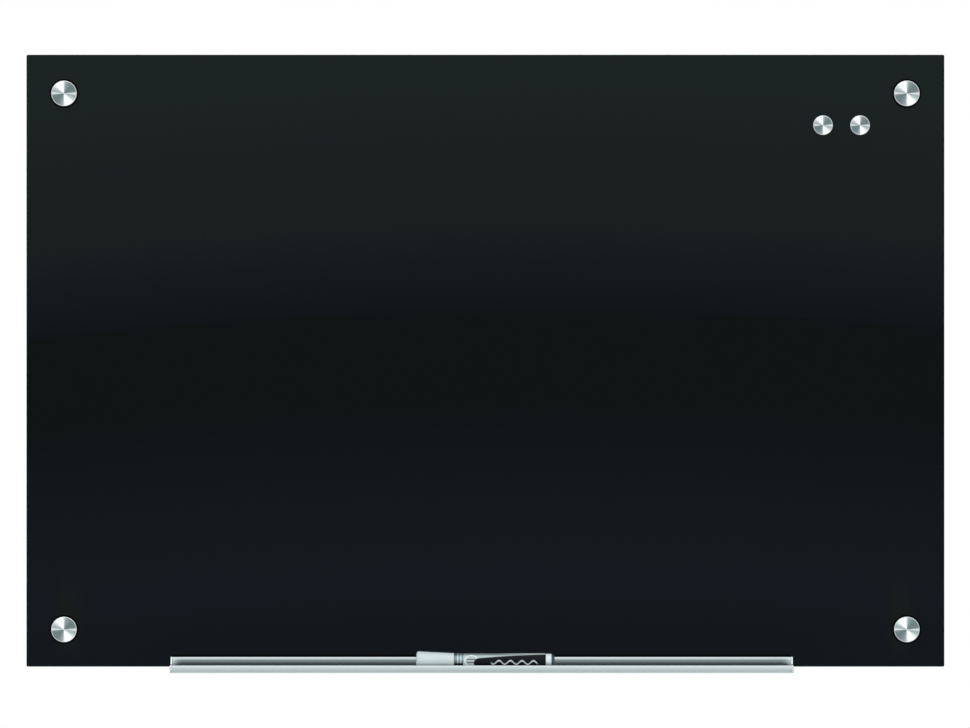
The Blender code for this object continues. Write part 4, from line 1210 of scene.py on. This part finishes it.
def make_floor(settings):
    """A pale round floor that fades to white at its rim, below the picture. Its underside is clear."""
    around = np.arange(FLOOR_STEPS)
    angle = 2 * np.pi * around / FLOOR_STEPS
    radius = np.array(FLOOR_RINGS)[:, None]
    points = np.stack([radius * np.cos(angle), radius * np.sin(angle), 0 * radius * angle], axis=-1)
    points = np.concatenate([np.zeros((1, 3)), points.reshape(-1, 3)])
    points += (0.0, FLOOR_MIDDLE, settings.floor_height)
    fan = np.stack([0 * around, 1 + around, 1 + (around + 1) % FLOOR_STEPS], axis=-1)
    quads = grid_faces(len(FLOOR_RINGS), FLOOR_STEPS)[:, ::-1] + 1
    mesh = bpy.data.meshes.new("floor")
    mesh.from_pydata(points.tolist(), [], fan.tolist() + quads.tolist())
    floor = bpy.data.objects.new("floor", mesh)
    floor.visible_glossy = False
    bpy.context.scene.collection.objects.link(floor)
    make = finish("studio_floor")
    place = make.place()
    x, y, _ = make.parts(place)
    out = (x * x + (y - FLOOR_MIDDLE) * (y - FLOOR_MIDDLE)) ** 0.5
    colour = make.mix(make.noise(place, 4.0), (0.80, 0.80, 0.80), (0.83, 0.83, 0.83))
    pale = make.node("ShaderNodeBsdfDiffuse", values={"Color": colour})
    white = make.node("ShaderNodeEmission", values={"Color": (1.0, 1.0, 1.0), "Strength": 1.0})
    clear = make.node("ShaderNodeBsdfTransparent")
    seen = make.node("ShaderNodeLightPath", output="Is Camera Ray")
    under = make.node("ShaderNodeNewGeometry", output="Backfacing")
    lit = make.node("ShaderNodeMixShader", values={0: seen, 1: clear, 2: white})
    both = make.node("ShaderNodeMixShader", values={0: make.ease(out, *FLOOR_FADE), 1: pale, 2: lit})
    both = make.node("ShaderNodeMixShader", values={0: under, 1: both, 2: clear})
    make.node("ShaderNodeOutputMaterial", values={"Surface": both})
    mesh.materials.append(make.owner)


def add_lamp(name, power, location, size):
    """A square soft lamp that looks at the board. It lights, and isn't mirrored."""
    light = bpy.data.lights.new(name, "AREA")
    light.energy = power
    light.size = size
    lamp = bpy.data.objects.new(name, light)
    lamp.location = location
    lamp.rotation_euler = (-Vector(location)).to_track_quat("-Z", "Y").to_euler()
    lamp.visible_glossy = False
    lamp.visible_camera = False
    bpy.context.scene.collection.objects.link(lamp)


def make_surroundings(scene, settings):
    """What lies round the board: white to the eye, even light, and a studio for mirrors to show.

    A ray that the glass mirrors towards the camera is written as the point of the board that it comes from:
    the direction's x and z over -y, times the camera's distance. Round that window it is dark, then pale, and
    then come softboxes in pairs, which the turned faces show as sectors. Beyond those it is white all round.
    """
    world = bpy.data.worlds.new("studio")
    scene.world = world
    world.cycles.sampling_method = "NONE"
    make = Finish(world)
    x, y, z = make.parts(make.node("ShaderNodeTexCoord", output="Generated"))
    polar = (0.0 - y).arc_cosine()

    def beyond(degrees, inner, outer):
        low, high = degrees
        return make.mix(make.ease(polar, math.radians(low), math.radians(high)), inner, outer)

    ahead = (0.0 - y).larger(0.001)
    across = CAMERA_DISTANCE * x / ahead
    up = CAMERA_DISTANCE * z / ahead
    bow = BOW * (across - BOW_MIDDLE) * (across - BOW_MIDDLE)
    window = make.ramp((up + bow + WINDOW_HALF_HEIGHT) / (2 * WINDOW_HALF_HEIGHT), WINDOW_TONES)
    glow = make.fade(abs(abs(across) - GLOW_ACROSS), *GLOW_EDGE) * make.ease(up, *GLOW_LOW)
    window = make.mix(glow * make.fade(up, *GLOW_HIGH), window, CORNER_GLOW)
    half_turns = z.angle_over(x) / math.pi + 1.0
    boxes = make.ramp(half_turns.fraction(), BOX_TONES)
    white = make.ramp(z * 0.5 + 0.5, ROOM_TONES)
    pale = make.mix(make.ease(abs(x), 0.06, 0.20), beyond(PALE_BRIGHTENS, PALE, BRIGHT), PALE_SIDES)
    room = beyond(DARK_ENDS, beyond(WINDOW_ENDS, window, DARK), pale)
    room = beyond(BOXES_END, beyond(BOXES_START, room, boxes), white)
    kinds = ("Is Camera Ray", "Is Transmission Ray", "Is Glossy Ray")
    seen, through, glossy = (make.node("ShaderNodeLightPath", output=kind) for kind in kinds)
    grey = settings.ambient
    even = make.mix(make.ease(z, -1.0, 1.0), (0.55 * grey,) * 3, (1.45 * grey,) * 3)
    colour = make.mix(seen.larger(through), make.mix(glossy, even, room), (1.0, 1.0, 1.0))
    light = make.node("ShaderNodeBackground", values={"Color": colour})
    make.node("ShaderNodeOutputWorld", values={"Surface": light})


def make_camera(scene):
    data = bpy.data.cameras.new("camera")
    data.sensor_width = SENSOR_WIDTH
    data.lens = SENSOR_WIDTH * CAMERA_DISTANCE / CAMERA_WIDTH
    data.clip_end = 100.0
    camera = bpy.data.objects.new("camera", data)
    camera.location = (CAMERA_AIM[0], -front_of("glass_panel") - CAMERA_DISTANCE, CAMERA_AIM[1])
    camera.rotation_euler = (math.pi / 2, 0.0, 0.0)
    scene.collection.objects.link(camera)
    scene.camera = camera


class WHITEBOARD_PT_sidebar(bpy.types.Panel):
    """Lists the pieces of the whiteboard"""

    bl_idname = "WHITEBOARD_PT_sidebar"
    bl_label = "Whiteboard"
    bl_space_type = "VIEW_3D"
    bl_region_type = "UI"
    bl_category = "Whiteboard"

    def draw(self, context):
        for operator in OPERATORS:
            self.layout.operator(operator.bl_idname)
        for name in SETTINGS:
            box = self.layout.box()
            group = getattr(context.scene, name)
            for prop in group.bl_rna.properties:
                if prop.identifier not in {"rna_type", "name"}:
                    box.prop(group, prop.identifier)


SETTINGS = {
    "whiteboard_glass": GlassSettings,
    "whiteboard_spun": SpunSettings,
    "whiteboard_tray": TraySettings,
    "whiteboard_marker": MarkerSettings,
    "whiteboard_studio": StudioSettings,
}
OPERATORS = (
    WHITEBOARD_OT_panel,
    WHITEBOARD_OT_caps,
    WHITEBOARD_OT_fixings,
    WHITEBOARD_OT_tray,
    WHITEBOARD_OT_marker,
    WHITEBOARD_OT_studio,
)


def register():
    for kind in (*SETTINGS.values(), *OPERATORS, WHITEBOARD_PT_sidebar):
        bpy.utils.register_class(kind)
    for name, kind in SETTINGS.items():
        setattr(bpy.types.Scene, name, PointerProperty(type=kind))


def unregister():
    for name in SETTINGS:
        delattr(bpy.types.Scene, name)
    for kind in (WHITEBOARD_PT_sidebar, *reversed(OPERATORS), *SETTINGS.values()):
        bpy.utils.unregister_class(kind)


def main():
    register()
    bpy.ops.whiteboard.panel()
    bpy.ops.whiteboard.caps()
    bpy.ops.whiteboard.fixings()
    bpy.ops.whiteboard.tray()
    bpy.ops.whiteboard.marker()
    bpy.ops.whiteboard.studio()
    bpy.context.view_layer.update()


if __name__ == "__main__":
    main()
